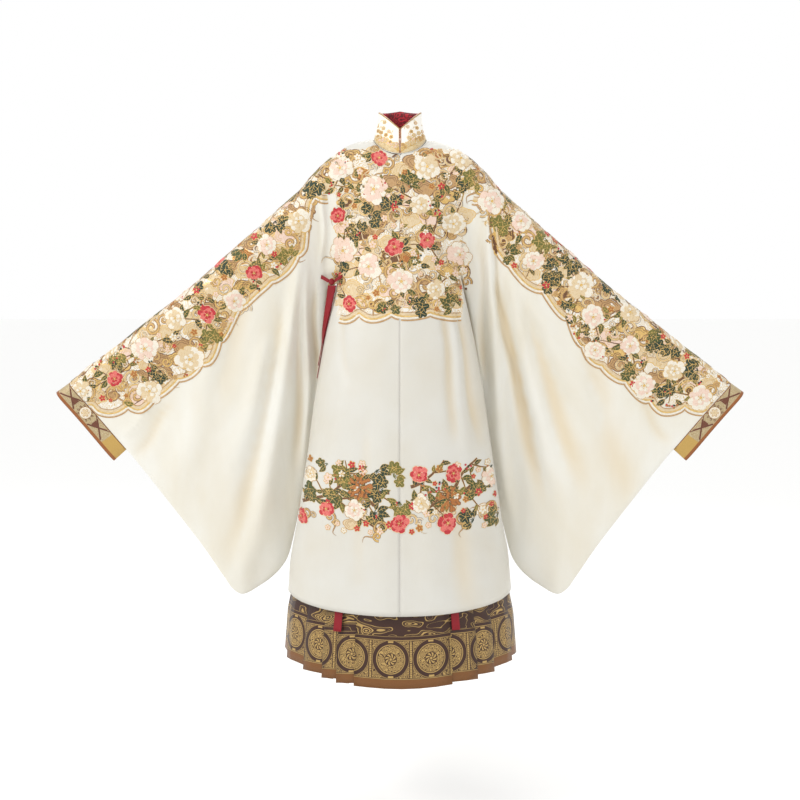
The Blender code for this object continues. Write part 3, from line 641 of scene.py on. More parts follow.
def skirt_wrap(name, sign):
    """One skirt half, from the waist to the hem; the map keeps the figures square on the cloth."""
    keys = SKIRT.keys[1:]
    rows = []
    for share in sorted({lerp(a, b, t) for a, b in zip(keys, keys[1:]) for t in shares(6)}):
        row = [skirt_point(turn, level, share, rise) for turn, level, rise in wrap_row(share)]
        rows.append([Vector((-sign * p.x, sign * p.y, p.z)) for p in row])
    hem = rows[-1]
    run = [hem_arc(turn) for turn, level, rise in wrap_row(1.0)]
    uv = [[(run[j], (hem[j] - point).length) for j, point in enumerate(row)] for row in rows]
    return cloth(name + "_cloth", rows, SKIRT_WALL, SKIRT_CLOTH, uv=uv, offset=0.0,
                 replaces=[name])


def skirt_ellipse(z, out):
    """Half width and depth of the skirt at a height, with some room outside it."""
    share = (WAIST_Z - z) / (WAIST_Z - SKIRT_HEM_SIDE_Z + SKIRT_HEM_DROP)
    return SKIRT.straight(share, "half_width") + out, SKIRT.straight(share, "depth") + out


def skirt_waistband():
    """Closed band round the top of the skirt."""
    rows = []
    for z in (lerp(WAISTBAND_LOW_Z, WAISTBAND_TOP_Z, t) for t in shares(8)):
        wide, deep = skirt_ellipse(z, WAISTBAND_OUT)
        turns = [2 * pi * j / 144 for j in range(144)]
        rows.append([Vector((wide * sin(turn), -deep * cos(turn), z)) for turn in turns])
    return cloth("skirt_waistband_cloth", rows, WAISTBAND_WALL, RED, closed=True,
                 replaces=["skirt_waistband"])


def skirt_ribbon(name, x_top, x_low, z_low):
    """Ribbon that hangs down the front of the skirt from under the waistband."""
    stations = []
    for along in shares(48):
        x, z = lerp(x_top, x_low, along), lerp(-0.4406, z_low, along)
        wide, deep = skirt_ellipse(z, lerp(0.0029, 0.0014, smooth(along * 4)))
        y = -deep * sqrt(1 - (x / wide) ** 2)
        stations.append(((x, y, z), (1, -x * (deep / wide) ** 2 / y, 0), RIBBON_WIDTH))
    return ribbon(name, stations)


wrap_front = skirt_wrap("skirt_wrap_front", 1)
wrap_back = skirt_wrap("skirt_wrap_back", -1)
waistband = skirt_waistband()
ribbon_right = skirt_ribbon("skirt_ribbon_right", -0.090, -0.148, -1.143)
ribbon_left = skirt_ribbon("skirt_ribbon_left", 0.080, 0.132, -1.138)
skirt_faces = tree_of(wrap_front, wrap_back, waistband, ribbon_right, ribbon_left)


# ---- robe body and lapel
def sleeve_thickness(down, length, arm, slack):
    """Half the thickness of a hanging sleeve, some way down it: the arm's, then the slack cloth's."""
    over_arm = arm / 0.6065 * sqrt(down / arm) * exp(-down / (2 * arm))
    closing = sqrt(max(0.0, 1 - (down / length) ** 12))
    return (over_arm + slack * (1 - exp(-down / arm))) * closing


def neck_point(turn):
    front, back = max(cos(turn), 0.0), max(-cos(turn), 0.0)
    z = NECK_Z_SIDE + (NECK_Z_FRONT - NECK_Z_SIDE) * front ** 1.3 + (NECK_Z_BACK - NECK_Z_SIDE) * back
    return Vector((NECK_HALF_WIDTH * sin(turn), -NECK_FRONT * front + NECK_BACK * back, z))


def body_neck_edge(turn):
    slope = Vector((sin(turn), -0.35 * cos(turn), -0.9 * abs(cos(turn))))
    return neck_point(turn) + slope * NECK_SEAM


def body_row(front, v):
    """Row at v: 0 hem, 1 underarm, 2 shoulder.  Inner end, outer end and the bend between them."""
    depth, towards = ("front", -1) if front else ("back", 1)
    if v <= 1:
        z = lerp(HEM_Z, UNDERARM_Z, v)
        drop = HEM_DROP_FRONT if front else HEM_DROP_BACK
        inner = Vector((0, towards * BODY.at(z, depth), z - drop * (1 - v) ** 2))
        return inner, Vector((BODY.at(z, "half_width"), 0, z)), 90
    row = LAST_ROW * (2 - v)
    length = SHOULDER_Z - UNDERARM_Z
    down = RING.at(row, "step") * length
    half = sleeve_thickness(down, length, ARMHOLE_ARM, ARMHOLE_SLACK)
    outer = Vector((ARMHOLE_X, towards * half, SHOULDER_Z - down))
    neck_turn = 0.0 if front else pi
    if row > NECK_ROWS:
        z = lerp(UNDERARM_Z, body_neck_edge(neck_turn).z, (LAST_ROW - row) / (LAST_ROW - NECK_ROWS))
        inner = Vector((0, towards * CHEST.at(z, depth), z))
    else:
        inner = body_neck_edge(abs(neck_turn - (NECK_ROWS - row) / NECK_ROWS * pi / 2))
    return inner, outer, RING.at(row, "bend")


def body_point(front, v, share):
    inner, outer, bend = body_row(front, v)
    turn = radians(bend)
    along = sin(share * turn) / sin(turn)
    level = (cos(share * turn) - cos(turn)) / (1 - cos(turn))
    x = lerp(inner.x, outer.x, along)
    if v < 2 - NECK_ROWS / LAST_ROW + 0.001:
        x = max(x, CENTRE_GAP if front else SEAM_GAP / 2)
    if v > 1 and share == 1:
        x -= SEAM_GAP / 2
    return Vector((x, lerp(outer.y, inner.y, level), lerp(outer.z, inner.z, level)))


def body_fold(place, normal, side):
    """Height of the folds in the body cloth, faded out at its seams and kept clear of the skirt."""
    x = side * abs(place.x) if abs(place.x) > 0.0005 else 0.0
    folds = BODY_FOLDS_FRONT if normal.y < 0 else BODY_FOLDS_BACK
    facing = smooth((abs(normal.y) - 0.15) / 0.4)
    seam = smooth((ARMHOLE_X + 0.001 - abs(place.x)) / SEAM_FADE) if place.z > UNDERARM_Z - 0.02 else 1.0
    high = smooth((0.0 - place.z) / 0.06)
    height = fold_height(x, place.z, folds) * facing
    height += 0.0010 * ripple(place, 0.05, 3.0) + 0.0004 * ripple(place, 0.018, 8.0)
    if side < 0:
        height *= smooth(((place - TIE_PLACE).length - TIE_ROOM) / 0.05)
    height *= seam * high
    if place.z < WAISTBAND_TOP_Z + 0.05:
        start = place + normal * SKIRT_PROBE
        hit, facing_out, index, distance = skirt_faces.ray_cast(start, -normal, 0.09)
        if hit:
            height = max(height, ROBE_ROOM - (distance - SKIRT_PROBE))
    return height


BODY_LEVELS = [i / 56 for i in range(56)] + [1 + (1 - cos(pi / 2 * i / 54)) for i in range(55)]
BODY_SHARES = shares(44)


def mirrored(side, rows):
    """The rows on the left of the wearer, where side is 1, or on the right, where it is -1."""
    return [[Vector((side * p.x, p.y, p.z)) for p in row] for row in rows]


def body_half(name, side):
    """Half of the body cloth, up the front and down the back."""
    front, back = ([[body_point(is_front, v, s) for s in BODY_SHARES] for v in BODY_LEVELS]
                   for is_front in (True, False))

    def lift(place, normal):
        height = body_fold(place, normal, side)
        if side < 0 and normal.y < 0.2:
            under = 1 - smooth(abs(place.x) / LAPEL_RISE)
            height -= LAPEL_STEP * under * smooth((-place.y - 0.02) / 0.03)
            height -= UNDER_LAPEL_DENT * exp(-((place - UNDER_LAPEL_SIDE).length / UNDER_LAPEL_REACH) ** 2)
        return height

    return cloth(name + "_cloth", mirrored(side, front + back[-2::-1]), ROBE_WALL, IVORY, flip=side < 0,
                 lift=lift, replaces=[name])


def lapel():
    """Front panel folded over the wearer's right half, from the middle to its slanting edge."""
    ends = [(0.91 * j / 40, 2 - LAPEL_EDGE.at(0.91 * j / 40, "row") / LAST_ROW) for j in range(41)]
    rows = [[body_point(True, end * t, share) for share, end in ends] for t in shares(100)]

    def lift(place, normal):
        return body_fold(place, normal, -1) + LAPEL_STEP * smooth(abs(place.x) / LAPEL_RISE)

    return cloth("robe_lapel_cloth", mirrored(-1, rows), ROBE_WALL, IVORY, flip=True, lift=lift,
                 replaces=["robe_lapel_right"])


body_left = body_half("robe_body_left", 1)
body_right = body_half("robe_body_right", -1)
lapel_right = lapel()


# ---- sleeves and cuffs
def ring_of(walls):
    """One ring down the front wall and up the back one."""
    return walls[0] + walls[1][-2:0:-1]


def sleeve_ring(station, side, count=44):
    """Ring of points round a sleeve, and the height of the folds at each, a trough's below zero, deepened by
    a strip of painted shade near the body.
    """
    value = {name: SLEEVE.at(station, name) for name in SLEEVE.names[1:]}
    folds = SLEEVE_FOLDS_LEFT if side > 0 else SLEEVE_FOLDS_RIGHT
    stand_off = TIE_GAP if side < 0 else -TUCK_BEHIND * smooth((6 - station) / 2)
    low_x = value["low_x"] + stand_off * smooth(station) * (1 - smooth(station - 1) if side < 0 else 1.0)
    top, low = (value["top_x"], value["top_z"]), (low_x, value["low_z"])
    length = hypot(low[0] - top[0], low[1] - top[1])
    near_seam = smooth(station / 1.2) * smooth((LAST_STATION - station) / 0.8)
    walls, shade_heights = [], []
    for towards in (-1, 1):
        wall, hollow = [], []
        for step in map(smooth, shares(count)):
            x, z = lerp(top[0], low[0], step), lerp(top[1], low[1], step)
            half = sleeve_thickness(step * length, length, value["arm"], value["slack"])
            fold = fold_height(x, z, folds) * smooth(8 * (1 - step)) * near_seam
            place = (x, z, towards)
            wrinkle = 0.0011 * ripple(place, 0.06, 5.0 * side) + 0.0005 * ripple(place, 0.02, side)
            wrinkle *= near_seam * smooth(6 * step) * smooth(12 * (1 - step))
            y = towards * (half + wrinkle) + value["low_y"] * smooth(step) - fold
            wall.append(Vector((side * x, y, z)))
            # painted shadow: along the lower edge near the body the ring counts as a trough, up to full
            # depth, so the satin takes the painted warm shade
            edge = FULL_SHADE_DEPTH * smooth(1 - (1 - step) * length / EDGE_SHADE_WIDTH) * smooth((5 - station) / 2)
            hollow.append(-towards * fold - edge)
        walls.append(wall)
        shade_heights.append(hollow)
    return ring_of(walls), ring_of(shade_heights)


def cuff_direction():
    """Unit step in x, z across the cuff seam, away from the body."""
    run_x, run_z = CUFF_LOW_IN[0] - CUFF_TOP_IN[0], CUFF_LOW_IN[1] - CUFF_TOP_IN[1]
    length = hypot(run_x, run_z)
    return -run_z / length, run_x / length


def shift_ring(ring, side, x, z):
    """Move a ring outwards by x and up by z, to open a seam."""
    for point in ring:
        point.x, point.z = point.x + side * x, point.z + z


def sleeve(name, side):
    rings = [sleeve_ring(LAST_STATION * i / SLEEVE_ROWS, side) for i in range(SLEEVE_ROWS + 1)]
    rows = [ring for ring, hollow in rings]
    shade_heights = [height for ring, hollow in rings for height in hollow]
    out = cuff_direction()
    shift_ring(rows[0], side, SEAM_GAP / 2, 0)
    shift_ring(rows[-1], side, -out[0] * SEAM_GAP, -out[1] * SEAM_GAP)
    return cloth(name + "_cloth", rows, ROBE_WALL, CREAM, flip=side < 0, closed=True, replaces=[name],
                 hollow=shade_heights)


def between(a, b, t):
    """Place a share of the way from one x, z to another."""
    return lerp(a[0], b[0], t), lerp(a[1], b[1], t)


def cuff_ring(along, side, proud=0.0007, count=44):
    """Ring of points round a cuff, a share of the way out across it."""
    top, low = between(CUFF_TOP_IN, CUFF_TOP_OUT, along), between(CUFF_LOW_IN, CUFF_LOW_OUT, along)
    length = hypot(low[0] - top[0], low[1] - top[1])
    walls = []
    for towards in (-1, 1):
        wall = []
        for step in map(smooth, shares(count)):
            half = sleeve_thickness(step * length, length, CUFF_ARM, CUFF_SLACK)
            half += proud * smooth(8 * step) * smooth(8 * (1 - step))
            x, z = between(top, low, step)
            wall.append(Vector((side * x, towards * half, z)))
        walls.append(wall)
    return ring_of(walls)


def cuff(name, side):
    rows = [cuff_ring(along, side) for along in shares(8)]
    out = cuff_direction()
    shift_ring(rows[0], side, out[0] * SEAM_GAP, out[1] * SEAM_GAP)
    width = hypot(CUFF_TOP_OUT[0] - CUFF_TOP_IN[0], CUFF_TOP_OUT[1] - CUFF_TOP_IN[1])
    uv = [[(u, width * i / 8) for u in runs(row)] for i, row in enumerate(rows)]
    return cloth(name + "_cloth", rows, CUFF_WALL, CUFF_CLOTH, flip=side < 0, closed=True, uv=uv,
                 replaces=[name])


sleeve_left = sleeve("robe_sleeve_left", 1)
sleeve_right = sleeve("robe_sleeve_right", -1)
cuff_left = cuff("robe_cuff_left", 1)
cuff_right = cuff("robe_cuff_right", -1)


# ---- collar
def collar_point(turn, height, inward):
    """Place on the collar: round it from the front, a share of the way up, and some way inwards."""
    side = abs(sin(turn))
    top_z = COLLAR_TOP_Z_SIDE + (COLLAR_TOP_Z_BACK - COLLAR_TOP_Z_SIDE) * (1 - side)
    if cos(turn) > 0:
        top_z = lerp(COLLAR_TOP_Z_FRONT, COLLAR_TOP_Z_SIDE, side)
    top = Vector((COLLAR_TOP_HALF_WIDTH * sin(turn), -COLLAR_TOP_DEPTH * cos(turn), top_z))
    place = neck_point(turn).lerp(top, height)
    radius = hypot(place.x, place.y)
    scale = (radius - inward - 0.0015 * sin(pi * height)) / radius
    return Vector((place.x * scale, place.y * scale, place.z))


COLLAR_SPLIT_TURN = asin(COLLAR_SPLIT / NECK_HALF_WIDTH)


def collar(name, node, inward, wall, low, finish):
    """Standing collar with a slit at the front, from a share of its height up."""
    turns = [COLLAR_SPLIT_TURN, *(2 * pi * i / 96 for i in range(1, 96)), 2 * pi - COLLAR_SPLIT_TURN]
    rows = [[collar_point(turn, lerp(low, 1.0, t), inward) for turn in turns] for t in shares(12)]
    for row in rows:
        row[0].x, row[-1].x = COLLAR_SPLIT, -COLLAR_SPLIT
    return cloth(name, rows, wall, finish, replaces=[node])


def collar_trim(name, finish, inward, wall, heights):
    """Strip that lies on the collar, all the way round."""
    turns = [COLLAR_SPLIT_TURN + (2 * pi - 2 * COLLAR_SPLIT_TURN) * i / 192 for i in range(193)]
    rows = [[collar_point(turn, height, inward) for height in heights] for turn in turns]
    return cloth(name, rows, wall, finish, offset=1.0)


collar_outer = collar("robe_collar_cloth", "robe_collar", 0.0, COLLAR_WALL, 0.0, COLLAR_SATIN)
collar_inner = collar("robe_collar_lining_cloth", "robe_collar_lining", LINING_IN, LINING_WALL, 0.01,
                      RED_DAMASK)
PIPING = thread("brown_gold_piping", (196, 160, 104), (160, 118, 68))
COLLAR_GOLD = thread("collar_gold_band", (226, 208, 166), (200, 164, 106))
collar_piping = collar_trim("robe_collar_piping", PIPING, -0.0004, 0.0006, (0.955, 0.985, 1.0))
collar_band = collar_trim("robe_collar_band", COLLAR_GOLD, -0.0003, 0.0004, (0.02, 0.08, 0.15, 0.20))


# ---- side tie
def strand(name, *stations):
    """Short strand of the tie through three stations of x, y, z and width."""
    made = []
    for i in range(13):
        place = (len(stations) - 1) * i / 12
        k = min(int(place), len(stations) - 2)
        middle = Vector(stations[k][:3]).lerp(Vector(stations[k + 1][:3]), place - k)
        made.append((middle, Vector((0.2, 0, 1)), lerp(stations[k][3], stations[k + 1][3], place - k)))
    return ribbon(name, made, STRAND_WALL, 0.0004)


def streamer(name, lift, z_low):
    """Loose end of the tie, turning with the cloth it hangs on; the lift lays one over the other."""
    stations = []
    for z in (lerp(-0.3310, z_low, t) for t in shares(40)):
        turn = radians(STREAMER.at(z, "turn_deg"))
        x = BODY.at(z, "half_width") + STREAMER.at(z, "off") + RIBBON_WIDTH / 2 * cos(turn)
        middle = Vector((-x - lift * sin(turn), -STREAMER.at(z, "front") - lift * cos(turn), z))
        stations.append((middle, (cos(turn), -sin(turn), 0), RIBBON_WIDTH))
    return ribbon(name, stations)


def knot(name, x, y, z):
    """Small ball of cloth with slanting creases."""
    rows = []
    for i in range(1, 24):
        polar = pi * i / 24
        row = []
        for j in range(32):
            turn = 2 * pi * j / 32
            crease = 1 - 0.07 * exp(-((cos(turn * 1.5 + polar * 2)) / 0.25) ** 2)
            row.append(Vector((x + 0.0074 * sin(polar) * cos(turn) * crease,
                               y + 0.0049 * sin(polar) * sin(turn) * crease,
                               z + 0.0079 * cos(polar))))
        rows.append(row)
    return cloth(name + "_cloth", rows, RIBBON_WALL, RED, closed=True, flip=True,
                 replaces=[name])


tie_front = strand("robe_tie_strand_front", (-0.1566, -0.0372, -0.3200, 0.008),
                   (-0.1475, -0.0478, -0.3145, 0.009), (-0.1382, -0.0572, -0.3090, 0.009))
tie_back = strand("robe_tie_strand_back", (-0.1712, -0.0322, -0.3205, 0.008),
                  (-0.1810, -0.0236, -0.3150, 0.009), (-0.1900, -0.0174, -0.3105, 0.009))
tie_long = streamer("robe_tie_end_long", 0.0, -0.556)
tie_short = streamer("robe_tie_end_short", 0.0028, -0.525)
tie_knot = knot("robe_tie_knot", -0.1640, -0.0340, -0.3225)


# ---- studio
def studio():
    world = bpy.data.worlds.new("studio")
    bpy.context.scene.world = world
    world.use_nodes = True
    background = world.node_tree.nodes["Background"]
    background.inputs["Color"].default_value = (1.0, 1.0, 1.0, 1.0)
    background.inputs["Strength"].default_value = 1.0
    mesh = bpy.data.meshes.new("floor")
    corners = [(x, y, FLOOR_Z) for x, y in ((-40, -40), (40, -40), (40, 40), (-40, 40))]
    mesh.from_pydata(corners, [], [(0, 1, 2, 3)])
    floor = add("floor", mesh)
    paint = Paint("pale_floor", roughness=0.9, specular=0.1)
    paint.colour((252, 252, 251))
    mesh.materials.append(paint.material)
    for name, place, size, power in (("key", (-2.5, -1.7, 1.7), 1.0, 50.0),
                                     ("fill", (2.6, -2.4, 0.6), 1.8, 10.0),
                                     ("rim", (0.6, 2.6, 1.6), 1.8, 26.0)):
        data = bpy.data.lights.new(name, "AREA")
        data.energy, data.size, data.color = power, size, (1.0, 0.985, 0.96)
        lamp = add(name, data)
        lamp.location = place
        lamp.rotation_euler = (LAMP_TARGET - Vector(place)).to_track_quat("-Z", "Y").to_euler()
    data = bpy.data.cameras.new("front")
    data.lens, data.sensor_width = LENS, SENSOR_WIDTH
    camera = add("front", data)
    camera.location = CAMERA_PLACE
    camera.rotation_euler = (pi / 2 - CAMERA_TILT, 0, 0)
    bpy.context.scene.camera = camera
    bpy.context.scene.view_settings.view_transform = "Standard"


studio()


# ---- where the embroidery lies
# The fields are worked in a flat plan, x across as seen and z up, and then laid on the cloth.
SLEEVE_TOP = Table("x z",
    (0.0, 0.0), (0.149, -0.012), (0.245, -0.106), (0.425, -0.263), (0.580, -0.392), (0.805, -0.567),
    (0.837, -0.590))
FIELD_EDGE = Table("x z",
    (0.170, -0.120), (0.205, -0.130), (0.222, -0.232), (0.285, -0.312), (0.345, -0.352), (0.395, -0.405),
    (0.455, -0.505), (0.545, -0.570), (0.640, -0.628), (0.735, -0.632), (0.760, -0.622))
TOP_SHRINK = 0.8             # sleeves slope, so a plan seen from above is drawn this much shorter
KNEE_CLOUD_Z = -0.850        # clouds of the knee band lie below this
CHEST_EDGE_Z, KNEE_TOP_Z, KNEE_LOW_Z = -0.402, -0.735, -0.920
KNEE_HALF_TOP, KNEE_HALF_LOW = 0.2385, 0.262
CHEST_HALF_WIDTH = 0.150
SLEEVE_FIELD_X, SLEEVE_FIELD_Z = 0.172, -0.12      # the strip at the armhole is bare below this height
UPPER_FOLD_X = 0.160         # the sleeves' upper folds are worked from here outwards
LOBE = 0.082                 # mean length of a lobe along the fields' lower edges
SLEEVES_CLEAR_Z, SLEEVES_CLEAR_X = -0.70, 0.40     # below and within these, rays pass through the sleeves
STEEPEST = 0.25              # least cosine between a ray and the slope of the cloth it sews on
MOST_STRETCH = 2.2           # faces longer than this bridge a fold, and are left out
FIELD_BOX, KNEE_BOX = (-0.80, -0.64, 0.80, 0.0), (-0.27, KNEE_LOW_Z, 0.27, KNEE_TOP_Z)
TOP_BOX = (-1.0, -0.05, 1.0, 0.05)
TOWARDS = {"front": Vector((0, 1, 0)), "back": Vector((0, -1, 0)), "top": Vector((0, 0, -1))}


def share_of(value, start, end):
    """How far a value lies between two others, from 0 to 1."""
    return min(max((value - start) / (end - start), 0.0), 1.0)


def lobes(run, depth=0.017):
    """Cloud-like lobes of uneven length along an edge."""
    place = run / LOBE + 0.22 * sin(run * 11)
    return depth * abs(sin(pi * place)) ** 0.6 * (0.85 + 0.3 * sin(run * 17 + 1))


def cuff_seam(z):
    """How far out the seam of the cuff lies at a height."""
    return lerp(CUFF_TOP_IN[0], CUFF_LOW_IN[0], share_of(z, CUFF_TOP_IN[1], CUFF_LOW_IN[1]))


def in_field(x, z, margin=0.0):
    """Whether a place lies in the chest or a sleeve field, by a margin."""
    wide = abs(x)
    if wide < CHEST_HALF_WIDTH:
        top = lerp(-0.030, -0.006, min(wide / NECK_HALF_WIDTH, 1.0))
        return CHEST_EDGE_Z + margin < z < top - 0.75 * margin
    if wide < cuff_seam(z) - 0.4 * margin and (wide > SLEEVE_FIELD_X or z > SLEEVE_FIELD_Z):
        edge = FIELD_EDGE.at(wide, "z")
        return edge + margin * 1.2 < z < SLEEVE_TOP.straight(wide, "z") - 0.003 - margin
    return False


def in_knee(x, z, margin=0.0):
    """Whether a place lies in the band at the knees, by a margin."""
    half = lerp(KNEE_HALF_TOP, KNEE_HALF_LOW, (KNEE_TOP_Z - z) / (KNEE_TOP_Z - KNEE_LOW_Z))
    return KNEE_LOW_Z + margin < z < KNEE_TOP_Z - margin and abs(x) < half - 0.7 * margin


def in_top(run, y, margin=0.0):
    """Whether a place seen from above lies on the upper fold of a sleeve, by a margin."""
    wide = abs(run) * TOP_SHRINK
    half = lerp(0.050, 0.031, share_of(wide, 0.17, 0.47))
    return UPPER_FOLD_X + margin < wide < CUFF_TOP_IN[0] - 0.4 * margin and abs(y) < half - margin


def on_ground(x, z):
    """Whether the cloth has the figured ground of the fields, which runs over the sleeves' upper folds."""
    wide = abs(x)
    over_arm = wide > UPPER_FOLD_X and z > SLEEVE_TOP.straight(wide, "z") - 0.020
    return over_arm or in_field(x, z, 0.003)


def is_far_side(hit, face):
    """Whether a ray went in at an opening, or past an edge, and met a wall that faces another way."""
    if face == "top":
        return hit.z < SLEEVE_TOP.straight(abs(hit.x), "z") - 0.06
    return hit.y > 0.012 if face == "front" else hit.y < -0.012


def around(centre, reach, turn):
    """Place at a distance from a centre, along a turn."""
    return centre[0] + reach * cos(turn), centre[1] + reach * sin(turn)


def circle(centre, radius, count):
    """Evenly spaced places round a centre."""
    return [around(centre, radius, 2 * pi * i / count) for i in range(count)]


def turned(root, turn, a, b):
    """Place at a along a turn and b across it."""
    return root[0] + a * cos(turn) - b * sin(turn), root[1] + a * sin(turn) + b * cos(turn)


def scaled(centre, place, scale):
    """Place moved towards a centre, or away from it."""
    return centre[0] + (place[0] - centre[0]) * scale, centre[1] + (place[1] - centre[1]) * scale


# ---- stitches
class Stitches:
    """Shapes of one face of the robe, gathered by thread."""

    def __init__(self, seed, inside=in_field):
        self.random = random.Random(seed)
        self.points, self.faces = {}, {}
        self.inside = inside

    def any_turn(self):
        return self.random.uniform(0, 2 * pi)

    def add(self, tone, points, faces):
        """points are x, z, height over the cloth, u, v."""
        store = self.points.setdefault(tone, [])
        start = len(store)
        store += points
        self.faces.setdefault(tone, []).extend([tuple(start + i for i in face) for face in faces])

    def pad(self, tone, centre, outline, low, high, axis=0.0):
        """Padded shape: its outline, a ring inside it and a tip, with stitches along the axis."""
        count = len(outline)
        points = []
        for scale, height in ((1.0, low), (0.62, high), (0.0, high)):
            for place in outline if scale else outline[:1]:
                x, z = scaled(centre, place, scale)
                u = (x - centre[0]) * cos(axis) + (z - centre[1]) * sin(axis)
                v = (z - centre[1]) * cos(axis) - (x - centre[0]) * sin(axis)
                points.append((x, z, height, u, v))
        faces = []
        for i in range(count):
            j = (i + 1) % count
            faces += [(i, j, count + j, count + i), (count + i, count + j, 2 * count)]
        self.add(tone, points, faces)

    def rim(self, tone, centre, outline, width, level):
        """Flat border just outside an outline."""
        points, faces = [], []
        for i, place in enumerate(outline):
            reach = hypot(place[0] - centre[0], place[1] - centre[1]) or 1.0
            for scale in (0.86, 1 + width / reach):
                points.append((*scaled(centre, place, scale), level, 0.0, i * 0.002))
            a, b = 2 * i, 2 * ((i + 1) % len(outline))
            faces.append((a + 1, b + 1, b, a))
        self.add(tone, points, faces)

    def line(self, tone, path, width, height, taper=0.0, flat=False):
        """Cord of stitches along a path, thinner towards its far end by the taper."""
        points, faces, run = [], [], 0.0
        across = (1, -1) if flat else (1, 0, -1)
        for i, (x, z) in enumerate(path):
            ax, az = path[max(i - 1, 0)]
            bx, bz = path[min(i + 1, len(path) - 1)]
            length = hypot(bx - ax, bz - az) or 1.0
            nx, nz = -(bz - az) / length, (bx - ax) / length
            half = width / 2 * (1 - taper * i / (len(path) - 1))
            if i:
                run += hypot(x - path[i - 1][0], z - path[i - 1][1])
            for side in across:
                level = height if flat or not side else height * 0.6
                points.append((x + nx * half * side, z + nz * half * side, level, half * side, run))
            for k in range(len(across) - 1) if i else ():
                a, b = len(across) * (i - 1) + k, len(across) * i + k
                faces.append((a + 1, b + 1, b, a))
        self.add(tone, points, faces)

    def flat_line(self, tone, path, width, height, taper=0.0):
        self.line(tone, path, width, height, taper, True)

    def lay(self, name, tree, face, low_tree=None):
        """Meshes of the shapes, laid on the cloth from the front, from the back or from the top."""
        towards = TOWARDS[face]
        pieces = []
        for tone, flat in sorted(self.points.items()):
            places = []
            for x, z, height, u, v in flat:
                target = low_tree if low_tree and z < SLEEVES_CLEAR_Z and abs(x) < SLEEVES_CLEAR_X else tree
                start = Vector((x * TOP_SHRINK, z, 0)) if face == "top" else Vector((x * towards.y, 0, z))
                hit, normal, index, distance = target.ray_cast(start - towards, towards)
                if hit is None or abs(normal.dot(towards)) < STEEPEST or is_far_side(hit, face):
                    places.append(None)
                    continue
                outward = normal if normal.dot(towards) < 0 else -normal
                places.append(hit + outward * height)
            faces = []
            for corners in self.faces[tone]:
                if any(places[i] is None for i in corners):
                    continue
                edges = list(zip(corners, corners[1:] + corners[:1]))
                spread = max((places[i] - places[j]).length for i, j in edges)
                flat_spread = max(hypot(flat[i][0] - flat[j][0], flat[i][1] - flat[j][1]) for i, j in edges)
                if spread < flat_spread * MOST_STRETCH + 0.001:
                    faces.append(corners)
            used = sorted({i for corners in faces for i in corners})
            order = {i: n for n, i in enumerate(used)}
            mesh = bpy.data.meshes.new(name)
            rings = [[order[i] for i in corners] for corners in faces]
            mesh.from_pydata([places[i] for i in used], [], rings)
            layer = mesh.uv_layers.new(name="cloth")
            for polygon, corners in zip(mesh.polygons, faces):
                for loop, i in zip(polygon.loop_indices, corners):
                    layer.data[loop].uv = flat[i][3:]
            mesh.shade_smooth()
            mesh.materials.append(THREADS[tone])
            piece = add(name + "_" + tone, mesh)
            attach(piece, "root")
            pieces.append(piece)
        return pieces

    # ---- motifs
    def petal(self, tone, edge, root, turn, length, width, level, notch, count):
        """Rounded petal from its root along a turn, with an outline just under it."""
        centre = around(root, length * 0.55, turn)
        outline = []
        for i in range(count):
            angle = 2 * pi * i / count
            reach = 1 - notch * exp(-(sin(angle / 2) / 0.22) ** 2) + 0.05 * cos(5 * angle)
            outline.append(turned(centre, turn, length * 0.52 * reach * cos(angle),
                                  width * 0.5 * reach * sin(angle) * (1 + 0.28 * cos(angle))))
        self.rim(edge, centre, outline, 0.0013, level)
        self.pad(tone, centre, outline, level + 0.0002, level + 0.0007, turn - pi / 2)

    def peony(self, place, radius, tones, edge):
        """Full flower of three rings of petals round a gold heart."""
        rnd = self.random
        spin = self.any_turn()
        for level, (count, reach, wide) in enumerate(((9, 1.0, 0.58), (7, 0.74, 0.58), (5, 0.48, 0.60))):
            for i in range(count):
                turn = spin + level * 0.4 + 2 * pi * i / count + rnd.uniform(-0.16, 0.16)
                length = radius * reach * rnd.uniform(0.80, 1.10)
                tone = tones[level] if rnd.random() < 0.8 else tones[1]
                self.petal(tone, edge, place, turn, length, length * wide * 1.1, 0.0007 + 0.0004 * level,
                           0.22, 10)
        self.disc("gold", place, radius * 0.12, 0.0024)
        for i in range(5):
            self.disc("gold", around(place, radius * 0.20, spin + i * 2 * pi / 5), radius * 0.045, 0.0024)

    def tuft(self, place, radius, tone, edge):
        """Head of many small petals, as of a chrysanthemum or a shrub's leaves."""
        rnd = self.random
        for reach, count in ((1.1, 13), (0.75, 10), (0.38, 7), (0.1, 3)):
            for i in range(count):
                turn = 2 * pi * i / count + rnd.uniform(-0.2, 0.2)
                root = around(place, radius * reach * 0.55, turn)
                self.petal(tone, edge, root, turn + rnd.uniform(-0.6, 0.6), radius * 0.30, radius * 0.23,
                           0.0012 - 0.0006 * reach, 0.0, 7)

    def disc(self, tone, place, radius, level):
        self.pad(tone, place, circle(place, radius, 7), level, level + 0.0004)

    def star(self, place, radius, tone):
        """Small flower of five petals."""
        spin = self.any_turn()
        for i in range(5):
            self.petal(tone, "gold", place, spin + 2 * pi * i / 5, radius, radius * 0.72, 0.0006, 0.0, 7)
        self.disc("gold", place, radius * 0.22, 0.0016)

    def blade(self, tone, centre, outline, width, level, axis):
        """Leaf shape with a gold border."""
        self.rim("gold", centre, outline, width, level)
        self.pad(tone, centre, outline, level + 0.0002, level + 0.0006, axis)

    def leaf(self, root, turn, length, width, tone, level=0.0005):
        """Bent leaf with a gold border, midrib and side veins."""
        def on_leaf(along, across):
            return turned(root, turn, length * along, width * across + length * 0.08 * sin(pi * along))

